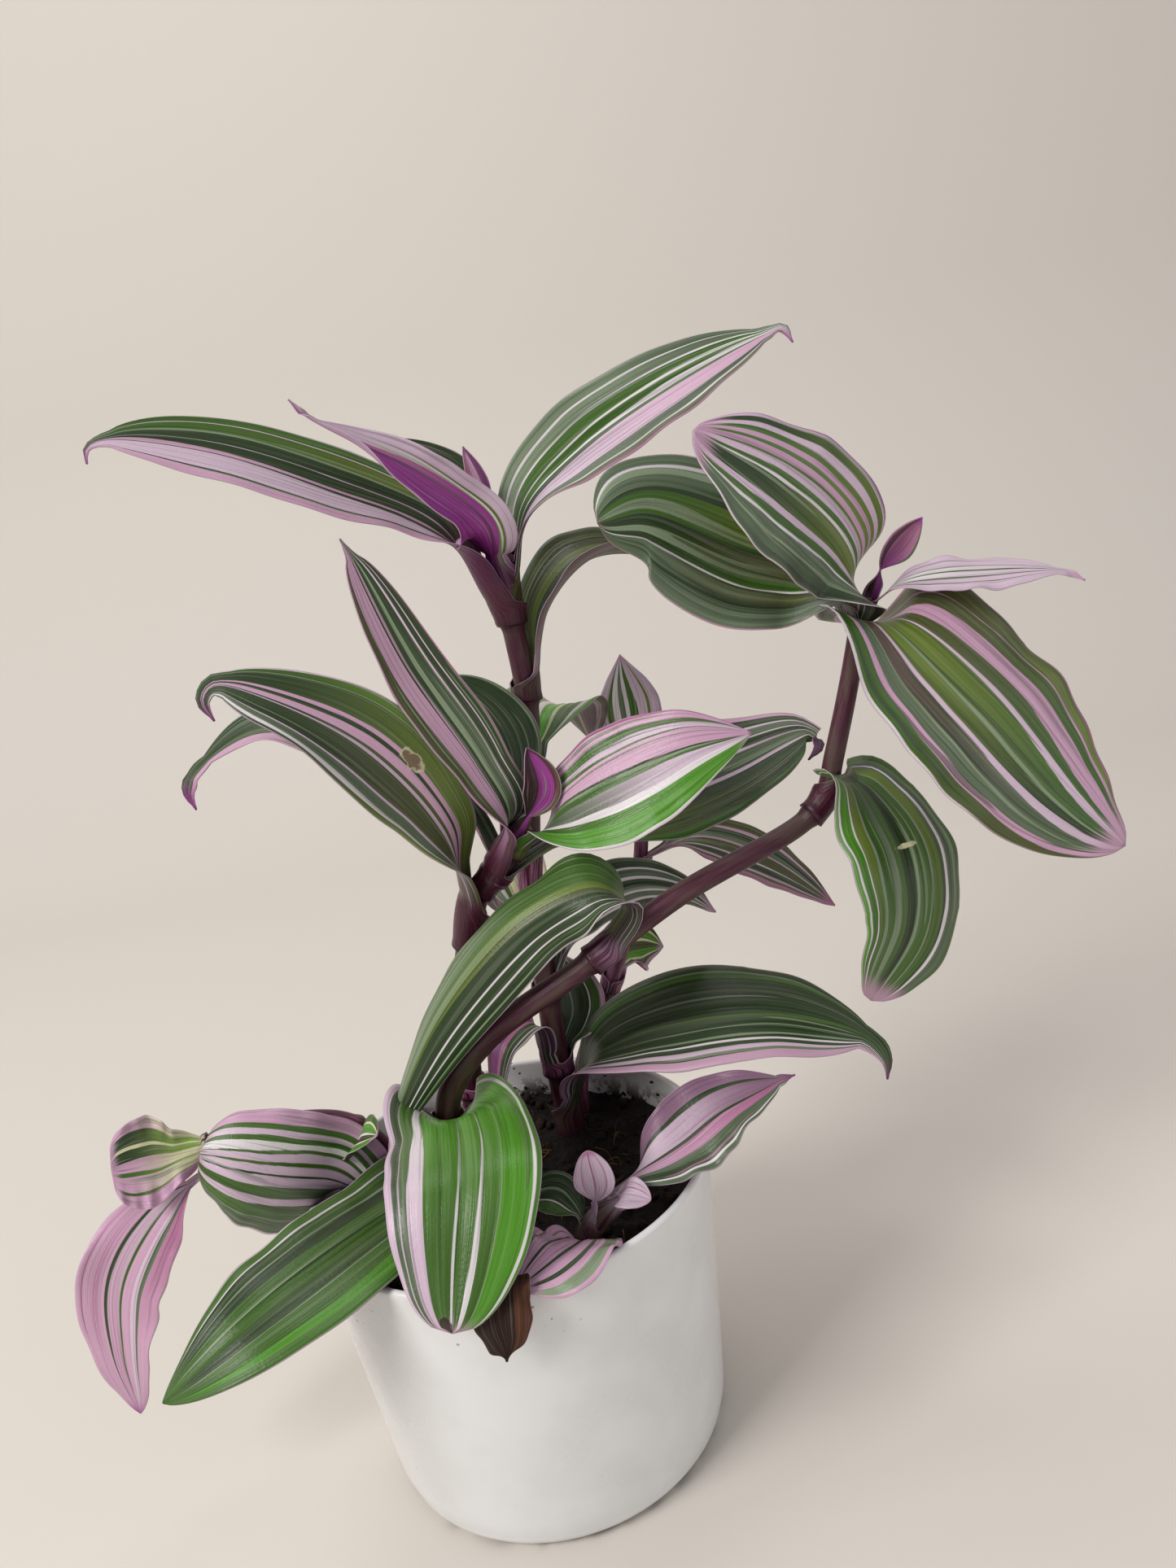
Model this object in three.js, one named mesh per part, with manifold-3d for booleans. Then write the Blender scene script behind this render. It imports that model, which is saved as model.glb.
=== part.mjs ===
// A potted tradescantia with striped leaves, in a plain white cup.
// Millimetres, +Z up. The origin is the centre of the cup's underside.
// +X is to the right and +Y is away from someone who faces the front of the plant.

import * as THREE from 'three';
import Module from 'manifold-3d';

const wasm = await Module();
wasm.setup();

// Driving dimensions
const RIM_RADIUS = 42;
const POT_HEIGHT = 64;
const BASE_RADIUS = 36;
const WALL = 1.6;
const FLOOR = 2.4;
const FOOT_ROUNDING = 4;
const LIP_ROUNDING = 0.8;
const SOIL_TOP = 54;
const SOIL_WAVE = 1.2;
const STEM_FOOT = 46;
const GAP = 0.3;
const BLADE = 0.7;
const SHEATH_WALL = 0.6;
const SEAT_GAP = 0.4;
const SLIM_BLADE = 12;
const SLIM_WRAP = 0.8;
const CLASP_END = 0.35;
const OPEN_BY = 0.3;
const LEAST_HALF = 0.5;
const COLUMNS = 4;
const SLIM_COLUMNS = 2;
const POT_SIDES = 40;
const STEM_SIDES = 8;
const RING_STEP = 9;
const COLLAR_STEP = 0.8;
const SEARCH_STEPS = 400;
const SOIL_RINGS = [0.85, 0.68, 0.5, 0.3];
const FOOT_ANGLES = [30, 60, 90];

// Finishes
const FINISHES = {
  pot: { color: 0xe9e8e4, roughness: 0.3, metalness: 0 },
  soil: { color: 0x2a1c14, roughness: 0.95, metalness: 0 },
  stem: { color: 0x5b2238, roughness: 0.5, metalness: 0 },
  runner: { color: 0x8a2a4a, roughness: 0.45, metalness: 0 },
  leaf: { color: 0x66805a, roughness: 0.45, metalness: 0 },
  pink: { color: 0xc79ac0, roughness: 0.45, metalness: 0 },
  young: { color: 0x9a3d98, roughness: 0.45, metalness: 0 },
  dead: { color: 0x3a2118, roughness: 0.85, metalness: 0 },
};

// Stems: the points of each centre line from the soil up, the radius at both ends,
// and where the closed leaf sheaths sit, as shares of the length from node to mouth.
const STEMS = {
  a: {
    points: [[13, 24, STEM_FOOT], [12, 25, 65], [13, 25, 86], [14, 26, 113],
      [17, 26, 131], [21, 26, 154], [21, 25, 170], [21, 24, 179], [22, 23, 189]],
    radius: [2.8, 2.2],
    sheaths: [[0.1, 0.2], [0.47, 0.56], [0.77, 0.84], [0.88, 0.94]],
    finish: 'stem',
  },
  b: {
    points: [[-11, 8, STEM_FOOT], [-11, 3, 66], [-9, -1, 81], [1, -3, 93], [23, -4, 105],
      [44, -1, 115], [71, 3, 124], [76, 4, 128], [79, 4, 136], [84, 4, 151], [88, 3, 166]],
    radius: [2.8, 2.2],
    sheaths: [[0.21, 0.24], [0.43, 0.49], [0.71, 0.76], [0.96, 0.99]],
    finish: 'stem',
  },
  c: {
    points: [[-8, 26, STEM_FOOT], [-8, 24, 69], [-4, 18, 94], [-1, 15, 106], [4, 12, 118],
      [10, 10, 124], [16, 9, 132]],
    radius: [2.9, 2.2],
    sheaths: [[0.2, 0.28], [0.66, 0.78], [0.9, 0.96]],
    finish: 'stem',
  },
  d: {
    points: [[14, 30, STEM_FOOT], [17, 33, 64], [26, 40, 78], [36, 44, 98], [40, 45, 111],
      [42, 47, 124], [44, 48, 134]],
    radius: [1.9, 1.6],
    sheaths: [[0.42, 0.47], [0.64, 0.7], [0.93, 0.98]],
    finish: 'runner',
  },
  g: {
    points: [[-26, 19, STEM_FOOT], [-29, 15, 63], [-34, 9, 74], [-44, 4, 79], [-53, 2, 79],
      [-62, 0, 79]],
    radius: [2.5, 2.1],
    sheaths: [[0.9, 0.97]],
    finish: 'runner',
  },
  k: {
    points: [[-26, 5, STEM_FOOT], [-29, 4, 58], [-33, 4, 70]],
    radius: [2.2, 1.7],
    sheaths: [],
    finish: 'runner',
  },
  s: {
    points: [[12, -23, STEM_FOOT], [14, -24, 58], [18, -24, 63], [25, -22, 66]],
    radius: [2.0, 1.1],
    sheaths: [[0.45, 0.65]],
    finish: 'runner',
  },
};

// Leaves: the stem that carries each one, the midrib from its foot to its tip, the width,
// the way its upper face looks near the foot and at the tip, and how strongly it is cupped
// there in radians from rib to edge (below zero it arches). The neck is the share of the
// length before the blade starts, peak moves the widest place towards the tip as it grows,
// base and tip numbers below 1 make those ends blunter, and wrap is how far round the stem
// each half of the foot goes, in radians.
const PLAIN = { neck: 0.08, peak: 0.85, base: 1, tip: 0.85, wrap: 1.25, rows: 9, finish: 'leaf' };
const LEAVES = [
  // The tall stem
  { name: 'leaf_a1', on: 'a', width: 22, cup: [0.5, 0.3], neck: 0.14, peak: 0.95,
    rib: [[21, 24, 176], [11, 19, 192], [-8, 12, 203], [-27, 6, 213], [-47, 2, 215]],
    face: [[0, -0.6, 0.8], [0, -0.5, 0.85]] },
  { name: 'leaf_a2', on: 'a', width: 22, cup: [0.4, 0.3],
    rib: [[22, 24, 181], [28, 26, 193], [40, 30, 202], [61, 34, 211], [86, 38, 219]],
    face: [[-0.3, -0.8, 0.5], [-0.2, -0.7, 0.7]] },
  { name: 'leaf_a3', on: 'a', width: 14, cup: [1.1, 0.9], wrap: 0.8,
    rib: [[22, 23, 185], [19, 16, 192], [9, 10, 203], [0, 6, 211], [-10, 3, 218]],
    face: [[0.3, -0.6, 0.7], [0.2, 0, 1]] },
  { name: 'leaf_a4', on: 'a', width: 22, cup: [0.9, 0.5],
    rib: [[22, 26, 160], [28, 28, 172], [38, 32, 180], [50, 38, 179], [60, 42, 172]],
    face: [[-0.4, -0.3, 0.9], [0, -0.2, 1]] },
  { name: 'leaf_a5', on: 'a', width: 11, cup: [0.7, 0.5], wrap: 0.7, rows: 6,
    rib: [[22, 23, 186], [17, 27, 198], [10, 27, 203], [2, 26, 210]],
    face: [[0, -0.7, 0.7], [0, -0.7, 0.7]] },
  { name: 'leaf_a6', on: 'a', width: 24, cup: [0.4, 0.3],
    rib: [[21, 26, 141], [24, 36, 149], [28, 47, 147], [33, 57, 136]],
    face: [[0, -0.5, 0.85], [0.3, -0.2, 0.9]] },
  { name: 'leaf_a7', on: 'a', width: 18, cup: [0.4, -0.3], rows: 6,
    rib: [[14, 26, 104], [10, 35, 114], [6, 43, 112], [4, 49, 100]],
    face: [[0, -0.4, 0.9], [-0.3, -0.2, 0.9]] },
  { name: 'leaf_a8', on: 'a', width: 19, cup: [0.3, 0.2],
    rib: [[14, 26, 92], [22, 28, 101], [34, 30, 107], [46, 32, 104], [54, 34, 96]],
    face: [[-0.2, -0.4, 0.9], [0.3, -0.4, 0.9]] },
  { name: 'leaf_a9', on: 'a', width: 5, cup: [0.9, 0.7], wrap: 0.5, rows: 5, finish: 'young',
    rib: [[22, 23, 189], [18, 23, 200], [15, 23, 207]],
    face: [[0, -0.9, 0.3], [0, -0.9, 0.3]] },
  { name: 'leaf_e1', on: 'a', width: 29, cup: [0.6, -0.4], peak: 1, tip: 0.55,
    rib: [[13, 25, 62], [22, 20, 74], [40, 14, 81], [62, 8, 81], [81, 3, 65]],
    face: [[0, -0.35, 0.95], [0.7, -0.4, 0.6]] },
  { name: 'leaf_h2', on: 'a', width: 11, cup: [0.6, 0.4], rows: 7,
    rib: [[13, 25, 72], [9, 20, 83], [3, 16, 81], [-2, 12, 67]],
    face: [[-0.3, -0.3, 0.9], [-0.8, -0.5, 0.3]] },
  { name: 'leaf_h3', on: 'a', width: 13, cup: [0.6, 0.4], rows: 6,
    rib: [[14, 25, 73], [19, 32, 80], [17, 36, 92]],
    face: [[0, -0.9, 0.3], [0, -0.9, 0.3]] },
  // The long leaning stem
  { name: 'leaf_b1', on: 'b', width: 20, rows: 12, cup: [-0.5, -0.3], peak: 0.75,
    rib: [[27, -4, 107], [32, -7, 116], [25, -8, 122], [6, -7, 114], [-13, -5, 93], [-23, -5, 72]],
    face: [[-0.3, -0.8, 0.6], [-0.8, -0.6, 0.2]] },
  { name: 'leaf_b2', on: 'b', width: 23, cup: [-0.4, 0.3],
    rib: [[79, 4, 133], [85, -1, 130], [90, -8, 120], [87, -13, 105], [76, -13, 91]],
    face: [[0.5, -0.8, 0.4], [0.4, -0.9, 0]] },
  { name: 'leaf_b3', on: 'b', width: 33, cup: [0.15, -0.3], neck: 0.02, peak: 0.95,
    base: 0.55, tip: 0.65,
    rib: [[88, 3, 161], [92, -5, 161], [103, -13, 146], [115, -17, 127], [125, -18, 115]],
    face: [[0.2, -0.85, 0.5], [0.3, -0.9, 0.3]] },
  { name: 'leaf_b4', on: 'b', width: 27, cup: [0.25, -0.2], peak: 0.95, tip: 0.65,
    rib: [[86, 3, 163], [82.5, -2.5, 175.5], [73, -9, 189.5], [59, -11, 201]],
    face: [[0.3, -0.9, 0.4], [0.3, -0.85, 0.45]] },
  { name: 'leaf_b5', on: 'b', width: 30, rows: 10, cup: [0.1, -0.4], peak: 1.1, tip: 0.55,
    rib: [[85, 4, 153], [78, 5, 168], [65, 4, 179.5], [50, 1, 188], [40.5, -3, 188.5]],
    face: [[-0.1, -0.85, 0.5], [-0.4, -0.9, 0.3]] },
  { name: 'leaf_b6', on: 'b', width: 16, cup: [0.4, 0.2], wrap: 0.6,
    rib: [[88, 3, 165], [97, 0, 168], [110, -5, 168], [123, -11, 164]],
    face: [[0, 0, 1], [0, 0.1, 1]] },
  { name: 'leaf_b7', on: 'b', width: 9, cup: [1.0, 0.8], rows: 5, finish: 'young',
    rib: [[88, 3, 166], [92, 8, 174], [101, 5, 180]],
    face: [[0.5, -0.9, 0.2], [0.5, -0.9, 0.2]] },
  // The short left stem
  { name: 'leaf_h1', on: 'c', width: 12, cup: [0.3, 0.2], rows: 7,
    rib: [[-8, 25, 72], [-12, 27, 80], [-18, 26, 83], [-23, 23, 80]],
    face: [[0.3, -0.5, 0.8], [-0.3, -0.5, 0.8]] },
  { name: 'leaf_c1', on: 'c', width: 18, wrap: 0.9, cup: [0.7, 0.5],
    rib: [[15, 9, 130], [12, 5, 146], [4, 3, 169], [-5, 5, 193]],
    face: [[0.4, -0.85, 0.3], [0.5, -0.8, 0.3]] },
  { name: 'leaf_c2', on: 'c', width: 23, cup: [0.5, 0.2], neck: 0.16, peak: 0.95,
    rib: [[4, 12, 118], [1, 3, 136], [-9, -3, 158], [-24, -6, 171], [-36, -6, 170]],
    face: [[0, -0.75, 0.65], [-0.4, -0.6, 0.7]] },
  { name: 'leaf_c3', on: 'c', width: 22, cup: [0.3, 0.1], neck: 0.14,
    rib: [[11, 10, 125], [1, 20, 142], [-18, 27, 154], [-37, 27, 158], [-52, 22, 145]],
    face: [[0, -0.6, 0.8], [-0.6, -0.5, 0.6]] },
  { name: 'leaf_c4', on: 'c', width: 22, cup: [0.5, 0.3], neck: 0.14, wrap: 0.7,
    rib: [[14, 10, 129], [13, 16, 143], [9, 20, 155], [3, 22, 163]],
    face: [[0.4, -0.9, 0.3], [0.3, -0.8, 0.5]] },
  { name: 'leaf_c5', on: 'c', width: 23, cup: [0.4, -0.3], wrap: 0.9,
    rib: [[15, 9, 129], [24, 2, 134], [36, -3, 140], [50, -6, 145], [62, -6, 146]],
    face: [[-0.3, -0.8, 0.6], [-0.1, -0.9, 0.4]] },
  { name: 'leaf_c6', on: 'c', width: 25, cup: [0.4, 0], neck: 0.12, peak: 1,
    rib: [[11, 10, 124], [21, 14, 126], [40, 16, 130], [60, 18, 134], [79, 18, 137]],
    face: [[-0.2, -0.7, 0.7], [0, -0.7, 0.7]] },
  { name: 'leaf_c7', on: 'c', width: 9, neck: 0.2, wrap: 0.5, cup: [1.0, 0.8], rows: 5, finish: 'young',
    rib: [[16, 9, 132], [21, 4, 140], [20, 3, 149]],
    face: [[0.3, -0.9, 0.2], [0.3, -0.9, 0.2]] },
  // The thin stem at the back
  { name: 'leaf_d1', on: 'd', width: 16, cup: [0.4, 0.4], rows: 6, tip: 1,
    rib: [[44, 48, 129], [43, 52, 142], [43, 51, 156]],
    face: [[0, -1, 0.2], [0, -0.9, 0.3]] },
  { name: 'leaf_d2', on: 'd', width: 17, cup: [0.4, 0.2],
    rib: [[40, 46, 109], [52, 43, 111], [67, 40, 104], [82, 37, 91]],
    face: [[0, -0.4, 0.9], [0.4, -0.5, 0.7]] },
  { name: 'leaf_d4', on: 'd', width: 16, cup: [0.4, 0.3], rows: 6,
    rib: [[29, 42, 82], [30, 49, 88], [37, 52, 91], [45, 53, 89]],
    face: [[0, -0.8, 0.6], [0.2, -0.8, 0.6]] },
  // The front of the cup
  { name: 'leaf_f', on: 'b', width: 28, cup: [-0.5, -0.2], neck: 0.13, peak: 0.95, tip: 0.5,
    rib: [[-10, 0, 78], [-4, -18, 87], [-4, -36, 83], [-8, -50, 64]],
    face: [[0, -0.4, 0.9], [0, -1, 0.1]] },
  { name: 'leaf_g3', on: 'b', width: 25, cup: [0.2, -0.3], peak: 0.9, tip: 0.75,
    rib: [[-11, 4, 62], [-20, -12, 67], [-32, -29, 71], [-46, -41, 69], [-61, -46, 58]],
    face: [[-0.2, -0.6, 0.8], [-0.5, -0.6, 0.6]] },
  // The runner on the left
  { name: 'leaf_g1', on: 'k', width: 23, cup: [-0.4, -0.7], neck: 0.2, tip: 0.65,
    rib: [[-30, 4, 63], [-38, -3, 73], [-45, -8, 76], [-52, -9, 81], [-58, -7, 87]],
    face: [[-0.3, -0.85, 0.4], [-0.5, -0.7, 0.5]] },
  { name: 'leaf_g2', on: 'g', width: 18, cup: [0.8, 0.3], rows: 6, tip: 0.5, finish: 'pink',
    rib: [[-61, 0, 79], [-68, -4, 82], [-75, -8, 83]],
    face: [[0, -0.9, 0.4], [0, -0.9, 0.3]] },
  { name: 'leaf_g5', on: 'g', width: 17, wrap: 0.8, cup: [0.4, 0.2], neck: 0.2, finish: 'pink',
    rib: [[-56, 1, 78], [-66, -6, 71], [-79, -9, 58], [-85, -12, 30]],
    face: [[-0.3, -0.95, 0.1], [-0.2, -0.95, 0]] },
  { name: 'leaf_g4', on: 'k', width: 11, cup: [0.3, 0.2], rows: 7,
    rib: [[-33, 4, 69], [-29, -1, 75], [-24, -6, 78]],
    face: [[0, -0.4, 0.9], [0, -0.4, 0.9]] },
  // The seedling
  { name: 'leaf_s1', on: 's', width: 16, cup: [0.3, 0.2], finish: 'pink',
    rib: [[24, -22, 66], [36, -18, 72], [45, -16, 77], [59, -13, 79]],
    face: [[-0.2, -0.6, 0.75], [-0.3, -0.6, 0.7]] },
  { name: 'leaf_s2', on: 's', width: 9, cup: [0.5, 0.3], rows: 7, wrap: 0.5, finish: 'pink',
    rib: [[18, -24, 63], [17, -27, 70], [16, -28, 76]],
    face: [[0, -1, 0.3], [0, -1, 0.3]] },
  { name: 'leaf_s3', on: 's', width: 7, cup: [0.4, 0.3], rows: 5, finish: 'pink',
    rib: [[22, -23, 65], [25, -29, 67], [29, -31, 66]],
    face: [[0, -0.5, 0.9], [0, -0.5, 0.9]] },
  { name: 'leaf_s4', on: 's', width: 8, cup: [0.4, 0.3], rows: 5,
    rib: [[16, -24, 61], [10, -19, 66], [3, -17, 65]],
    face: [[0, -0.6, 0.8], [0, -0.6, 0.8]] },
  { name: 'leaf_s5', on: 's', width: 16, cup: [0.2, 0.1], neck: 0.1, base: 0.6, tip: 0.6,
    rows: 8, finish: 'pink',
    rib: [[12, -24, 59], [12, -31, 65], [9, -38, 68.5], [2, -43, 68]],
    face: [[-0.1, -0.4, 0.9], [-0.2, -0.7, 0.7]] },
  { name: 'leaf_dead', on: 's', width: 10, cup: [0.8, 0.5], neck: 0.4, rows: 8, finish: 'dead',
    rib: [[12, -24, 55], [6, -30, 58], [2, -38, 65], [0, -43, 66], [-1, -46, 62], [-2, -46, 53]],
    face: [[0, -0.5, 0.9], [0, -0.9, 0.1]] },
].map((leaf) => ({ ...PLAIN, ...leaf }));

// A cup turned from its wall profile, with a rounded foot and a rounded lip
function potGeometry() {
  const slope = (RIM_RADIUS - BASE_RADIUS) / POT_HEIGHT;
  const outerAt = (z) => BASE_RADIUS + slope * z;
  const profile = [new THREE.Vector2(0, 0), new THREE.Vector2(BASE_RADIUS - FOOT_ROUNDING, 0)];
  for (const angle of FOOT_ANGLES) {
    const turn = THREE.MathUtils.degToRad(angle);
    const z = FOOT_ROUNDING * (1 - Math.cos(turn));
    profile.push(new THREE.Vector2(outerAt(z) - FOOT_ROUNDING * (1 - Math.sin(turn)), z));
  }
  profile.push(new THREE.Vector2(outerAt(POT_HEIGHT - LIP_ROUNDING), POT_HEIGHT - LIP_ROUNDING));
  profile.push(new THREE.Vector2(outerAt(POT_HEIGHT) - LIP_ROUNDING, POT_HEIGHT));
  profile.push(new THREE.Vector2(outerAt(POT_HEIGHT) - WALL, POT_HEIGHT - LIP_ROUNDING));
  profile.push(new THREE.Vector2(outerAt(FLOOR) - WALL, FLOOR));
  profile.push(new THREE.Vector2(0, FLOOR));
  return standing(new THREE.LatheGeometry(profile, POT_SIDES));
}

// The radius of the inside of the cup at a height
function innerRadius(z) {
  return BASE_RADIUS + ((RIM_RADIUS - BASE_RADIUS) / POT_HEIGHT) * z - WALL;
}

// A lathe turns round +Y, so it is stood up on +Z
function standing(geometry) {
  geometry.rotateX(Math.PI / 2);
  return geometry;
}

// How far the top of the soil rises above its mean level at a place
function soilHeight(x, y) {
  const fade = 1 - Math.min(1, Math.hypot(x, y) / innerRadius(SOIL_TOP)) ** 4;
  const waves = Math.sin(x / 5 + 1) * Math.cos(y / 6) + 0.4 * Math.sin((x + y) / 3);
  return SOIL_TOP + SOIL_WAVE * fade * waves;
}

// The soil fills the cup up to an uneven top, with a hole round each stem
function soilGeometry(holes) {
  const top = SOIL_TOP;
  const profile = [new THREE.Vector2(0, FLOOR + GAP)];
  profile.push(new THREE.Vector2(innerRadius(FLOOR) - GAP, FLOOR + GAP));
  profile.push(new THREE.Vector2(innerRadius(top) - GAP, top));
  for (const share of SOIL_RINGS) {
    profile.push(new THREE.Vector2(innerRadius(top) * share, top));
  }
  profile.push(new THREE.Vector2(0, top));
  const geometry = standing(new THREE.LatheGeometry(profile, POT_SIDES));
  const place = geometry.attributes.position;
  for (let i = 0; i < place.count; i += 1) {
    if (place.getZ(i) > top - 0.01) {
      place.setZ(i, soilHeight(place.getX(i), place.getY(i)));
    }
  }
  let solid = toSolid(geometry);
  for (const hole of holes) {
    solid = solid.subtract(toSolid(hole));
  }
  return fromSolid(solid);
}

// A closed mesh becomes a manifold solid once the points that share a place are merged
function toSolid(geometry) {
  const place = geometry.attributes.position;
  const index = geometry.index;
  const known = new Map();
  const merged = [];
  const renamed = [];
  for (let i = 0; i < place.count; i += 1) {
    const key = [place.getX(i), place.getY(i), place.getZ(i)].map((c) => Math.round(c * 1e4)).join();
    if (!known.has(key)) {
      known.set(key, merged.length / 3);
      merged.push(place.getX(i), place.getY(i), place.getZ(i));
    }
    renamed.push(known.get(key));
  }
  const triangles = [];
  for (let i = 0; i < index.count; i += 3) {
    const corners = [0, 1, 2].map((k) => renamed[index.getX(i + k)]);
    if (new Set(corners).size === 3) {
      triangles.push(...corners);
    }
  }
  return new wasm.Manifold(new wasm.Mesh({
    numProp: 3,
    vertProperties: new Float32Array(merged),
    triVerts: new Uint32Array(triangles),
  }));
}

// A manifold solid goes back to a three.js geometry
function fromSolid(solid) {
  const mesh = solid.getMesh();
  const geometry = new THREE.BufferGeometry();
  geometry.setAttribute('position', new THREE.BufferAttribute(mesh.vertProperties, 3));
  geometry.setIndex(new THREE.BufferAttribute(mesh.triVerts, 1));
  return geometry;
}

// The centre line of a stem or a midrib
function smoothLine(points) {
  return new THREE.CatmullRomCurve3(points.map((p) => new THREE.Vector3(...p)));
}

// The radius of a stem at a share of its length: a slow taper, and a step out at each node
// that runs back to the bare stem at the mouth of the sheath
function stemRadius(stem, share) {
  let radius = THREE.MathUtils.lerp(stem.radius[0], stem.radius[1], share);
  for (const [node, mouth] of stem.sheaths) {
    if (share >= node && share <= mouth) {
      radius += SHEATH_WALL;
    }
  }
  return radius;
}

// Shares of the length where a stem has a ring of points: even steps, and both sides of
// each end of a sheath
function stemStations(stem, length) {
  const step = COLLAR_STEP / length;
  const stations = [];
  const count = Math.round(length / RING_STEP);
  for (let i = 0; i <= count; i += 1) {
    stations.push(i / count);
  }
  const ends = stem.sheaths.flatMap(([node, mouth]) => [node - step, node, mouth, mouth + step]);
  const clear = stations.filter((s) => ends.every((e) => Math.abs(e - s) > 2.5 * step));
  return [...clear, ...ends].sort((p, q) => p - q);
}

// A tube round a stem's centre line, closed at both ends, with some spare radius for holes
function stemGeometry(stem, spare = 0) {
  const line = smoothLine(stem.points);
  const stations = stemStations(stem, line.getLength());
  const side = new THREE.Vector3(1, 0, 0);
  const points = [];
  for (const share of stations) {
    const along = line.getTangentAt(share);
    const centre = line.getPointAt(share).addScaledVector(along, share > 0 ? spare : -spare);
    side.addScaledVector(along, -side.dot(along)).normalize();
    const other = new THREE.Vector3().crossVectors(along, side);
    const radius = stemRadius(stem, share) + spare;
    for (let k = 0; k < STEM_SIDES; k += 1) {
      const turn = (k / STEM_SIDES) * 2 * Math.PI;
      points.push(centre.clone()
        .addScaledVector(side, radius * Math.cos(turn))
        .addScaledVector(other, radius * Math.sin(turn)));
    }
  }
  const faces = [];
  const last = (stations.length - 1) * STEM_SIDES;
  for (let k = 0; k < STEM_SIDES; k += 1) {
    const next = (k + 1) % STEM_SIDES;
    for (let row = 0; row < last; row += STEM_SIDES) {
      faces.push(row + k, row + next, row + STEM_SIDES + next);
      faces.push(row + k, row + STEM_SIDES + next, row + STEM_SIDES + k);
    }
    if (k > 0 && next > 0) {
      faces.push(0, next, k);
      faces.push(last, last + k, last + next);
    }
  }
  return indexed(points, faces);
}

// A geometry from points and faces
function indexed(points, faces) {
  const geometry = new THREE.BufferGeometry().setFromPoints(points);
  geometry.setIndex(faces);
  geometry.computeVertexNormals();
  return geometry;
}

// The place on a stem that is nearest to a point
function nearestOnStem(stem, point) {
  const line = smoothLine(stem.points);
  const target = new THREE.Vector3(...point);
  let best = { distance: Infinity };
  for (let i = 0; i <= SEARCH_STEPS; i += 1) {
    const share = i / SEARCH_STEPS;
    const centre = line.getPointAt(share);
    const distance = centre.distanceTo(target);
    if (distance < best.distance) {
      best = { distance, share, centre, along: line.getTangentAt(share) };
    }
  }
  return { ...best, radius: stemRadius(stem, best.share) };
}

// Half the width of a blade at a share of its length: the foot that clasps the stem gives
// way to a bell that is widest a bit before the middle and runs out to a point
function halfWidth(leaf, share, foot) {
  const along = Math.max(0, (share - leaf.neck) / (1 - leaf.neck)) ** leaf.peak;
  const bell = Math.sin(Math.PI * along) ** (along < 0.5 ? leaf.base : leaf.tip);
  const clasp = foot * (1 - THREE.MathUtils.smoothstep(share, 0, CLASP_END));
  return Math.max(LEAST_HALF, clasp + (leaf.width / 2) * bell);
}

// A leaf is a thin closed shell. Its section is an arc that wraps the stem at the foot and
// opens out into the cup of the blade. It clasps the stem with the face that turns the
// blade least. Both faces are split into triangles alike.
function leafGeometry(leaf) {
  const stem = STEMS[leaf.on];
  const { rows } = leaf;
  const slim = leaf.width <= SLIM_BLADE;
  const columns = slim ? SLIM_COLUMNS : COLUMNS;
  const wrap = slim ? Math.min(SLIM_WRAP, leaf.wrap) : leaf.wrap;
  const seat = nearestOnStem(stem, leaf.rib[0]);
  const out = new THREE.Vector3(...leaf.rib[1]).sub(seat.centre);
  out.addScaledVector(seat.along, -out.dot(seat.along)).normalize();
  const reach = seat.radius + SEAT_GAP + BLADE / 2;
  const foot = seat.centre.clone().addScaledVector(out, reach);
  const line = smoothLine([foot.toArray(), ...leaf.rib.slice(1)]);
  const acrossFace = (share, face) => new THREE.Vector3()
    .crossVectors(line.getTangentAt(share), new THREE.Vector3(...face)).normalize();
  const acrossBlade = acrossFace(CLASP_END, leaf.face[0]);
  const acrossTip = acrossFace(1, leaf.face[1]);
  const acrossFoot = new THREE.Vector3().crossVectors(out, seat.along);
  const side = acrossFoot.dot(acrossBlade) < 0 ? -1 : 1;
  acrossFoot.multiplyScalar(side);
  const upper = [];
  const lower = [];
  for (let row = 0; row <= rows; row += 1) {
    const share = row / rows;
    const centre = line.getPointAt(share);
    const along = line.getTangentAt(share);
    const opened = THREE.MathUtils.smoothstep(share, 0, OPEN_BY);
    const across = acrossFoot.clone().lerp(acrossBlade, opened)
      .lerp(acrossTip, THREE.MathUtils.smoothstep(share, CLASP_END, 1));
    across.addScaledVector(along, -across.dot(along)).normalize();
    const normal = new THREE.Vector3().crossVectors(across, along);
    const blade = THREE.MathUtils.lerp(leaf.cup[0], leaf.cup[1], share);
    const cup = THREE.MathUtils.lerp(side * wrap, blade, opened) || 0.01;
    const half = halfWidth(leaf, share, reach * wrap);
    for (let column = 0; column <= columns; column += 1) {
      const turn = cup * ((2 * column) / columns - 1);
      const middle = centre.clone()
        .addScaledVector(across, (half / cup) * Math.sin(turn))
        .addScaledVector(normal, (half / cup) * (1 - Math.cos(turn)));
      const facing = normal.clone().multiplyScalar(Math.cos(turn))
        .addScaledVector(across, -Math.sin(turn));
      upper.push(middle.clone().addScaledVector(facing, BLADE / 2));
      lower.push(middle.clone().addScaledVector(facing, -BLADE / 2));
    }
  }
  return shell(upper, lower, rows, columns);
}

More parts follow.
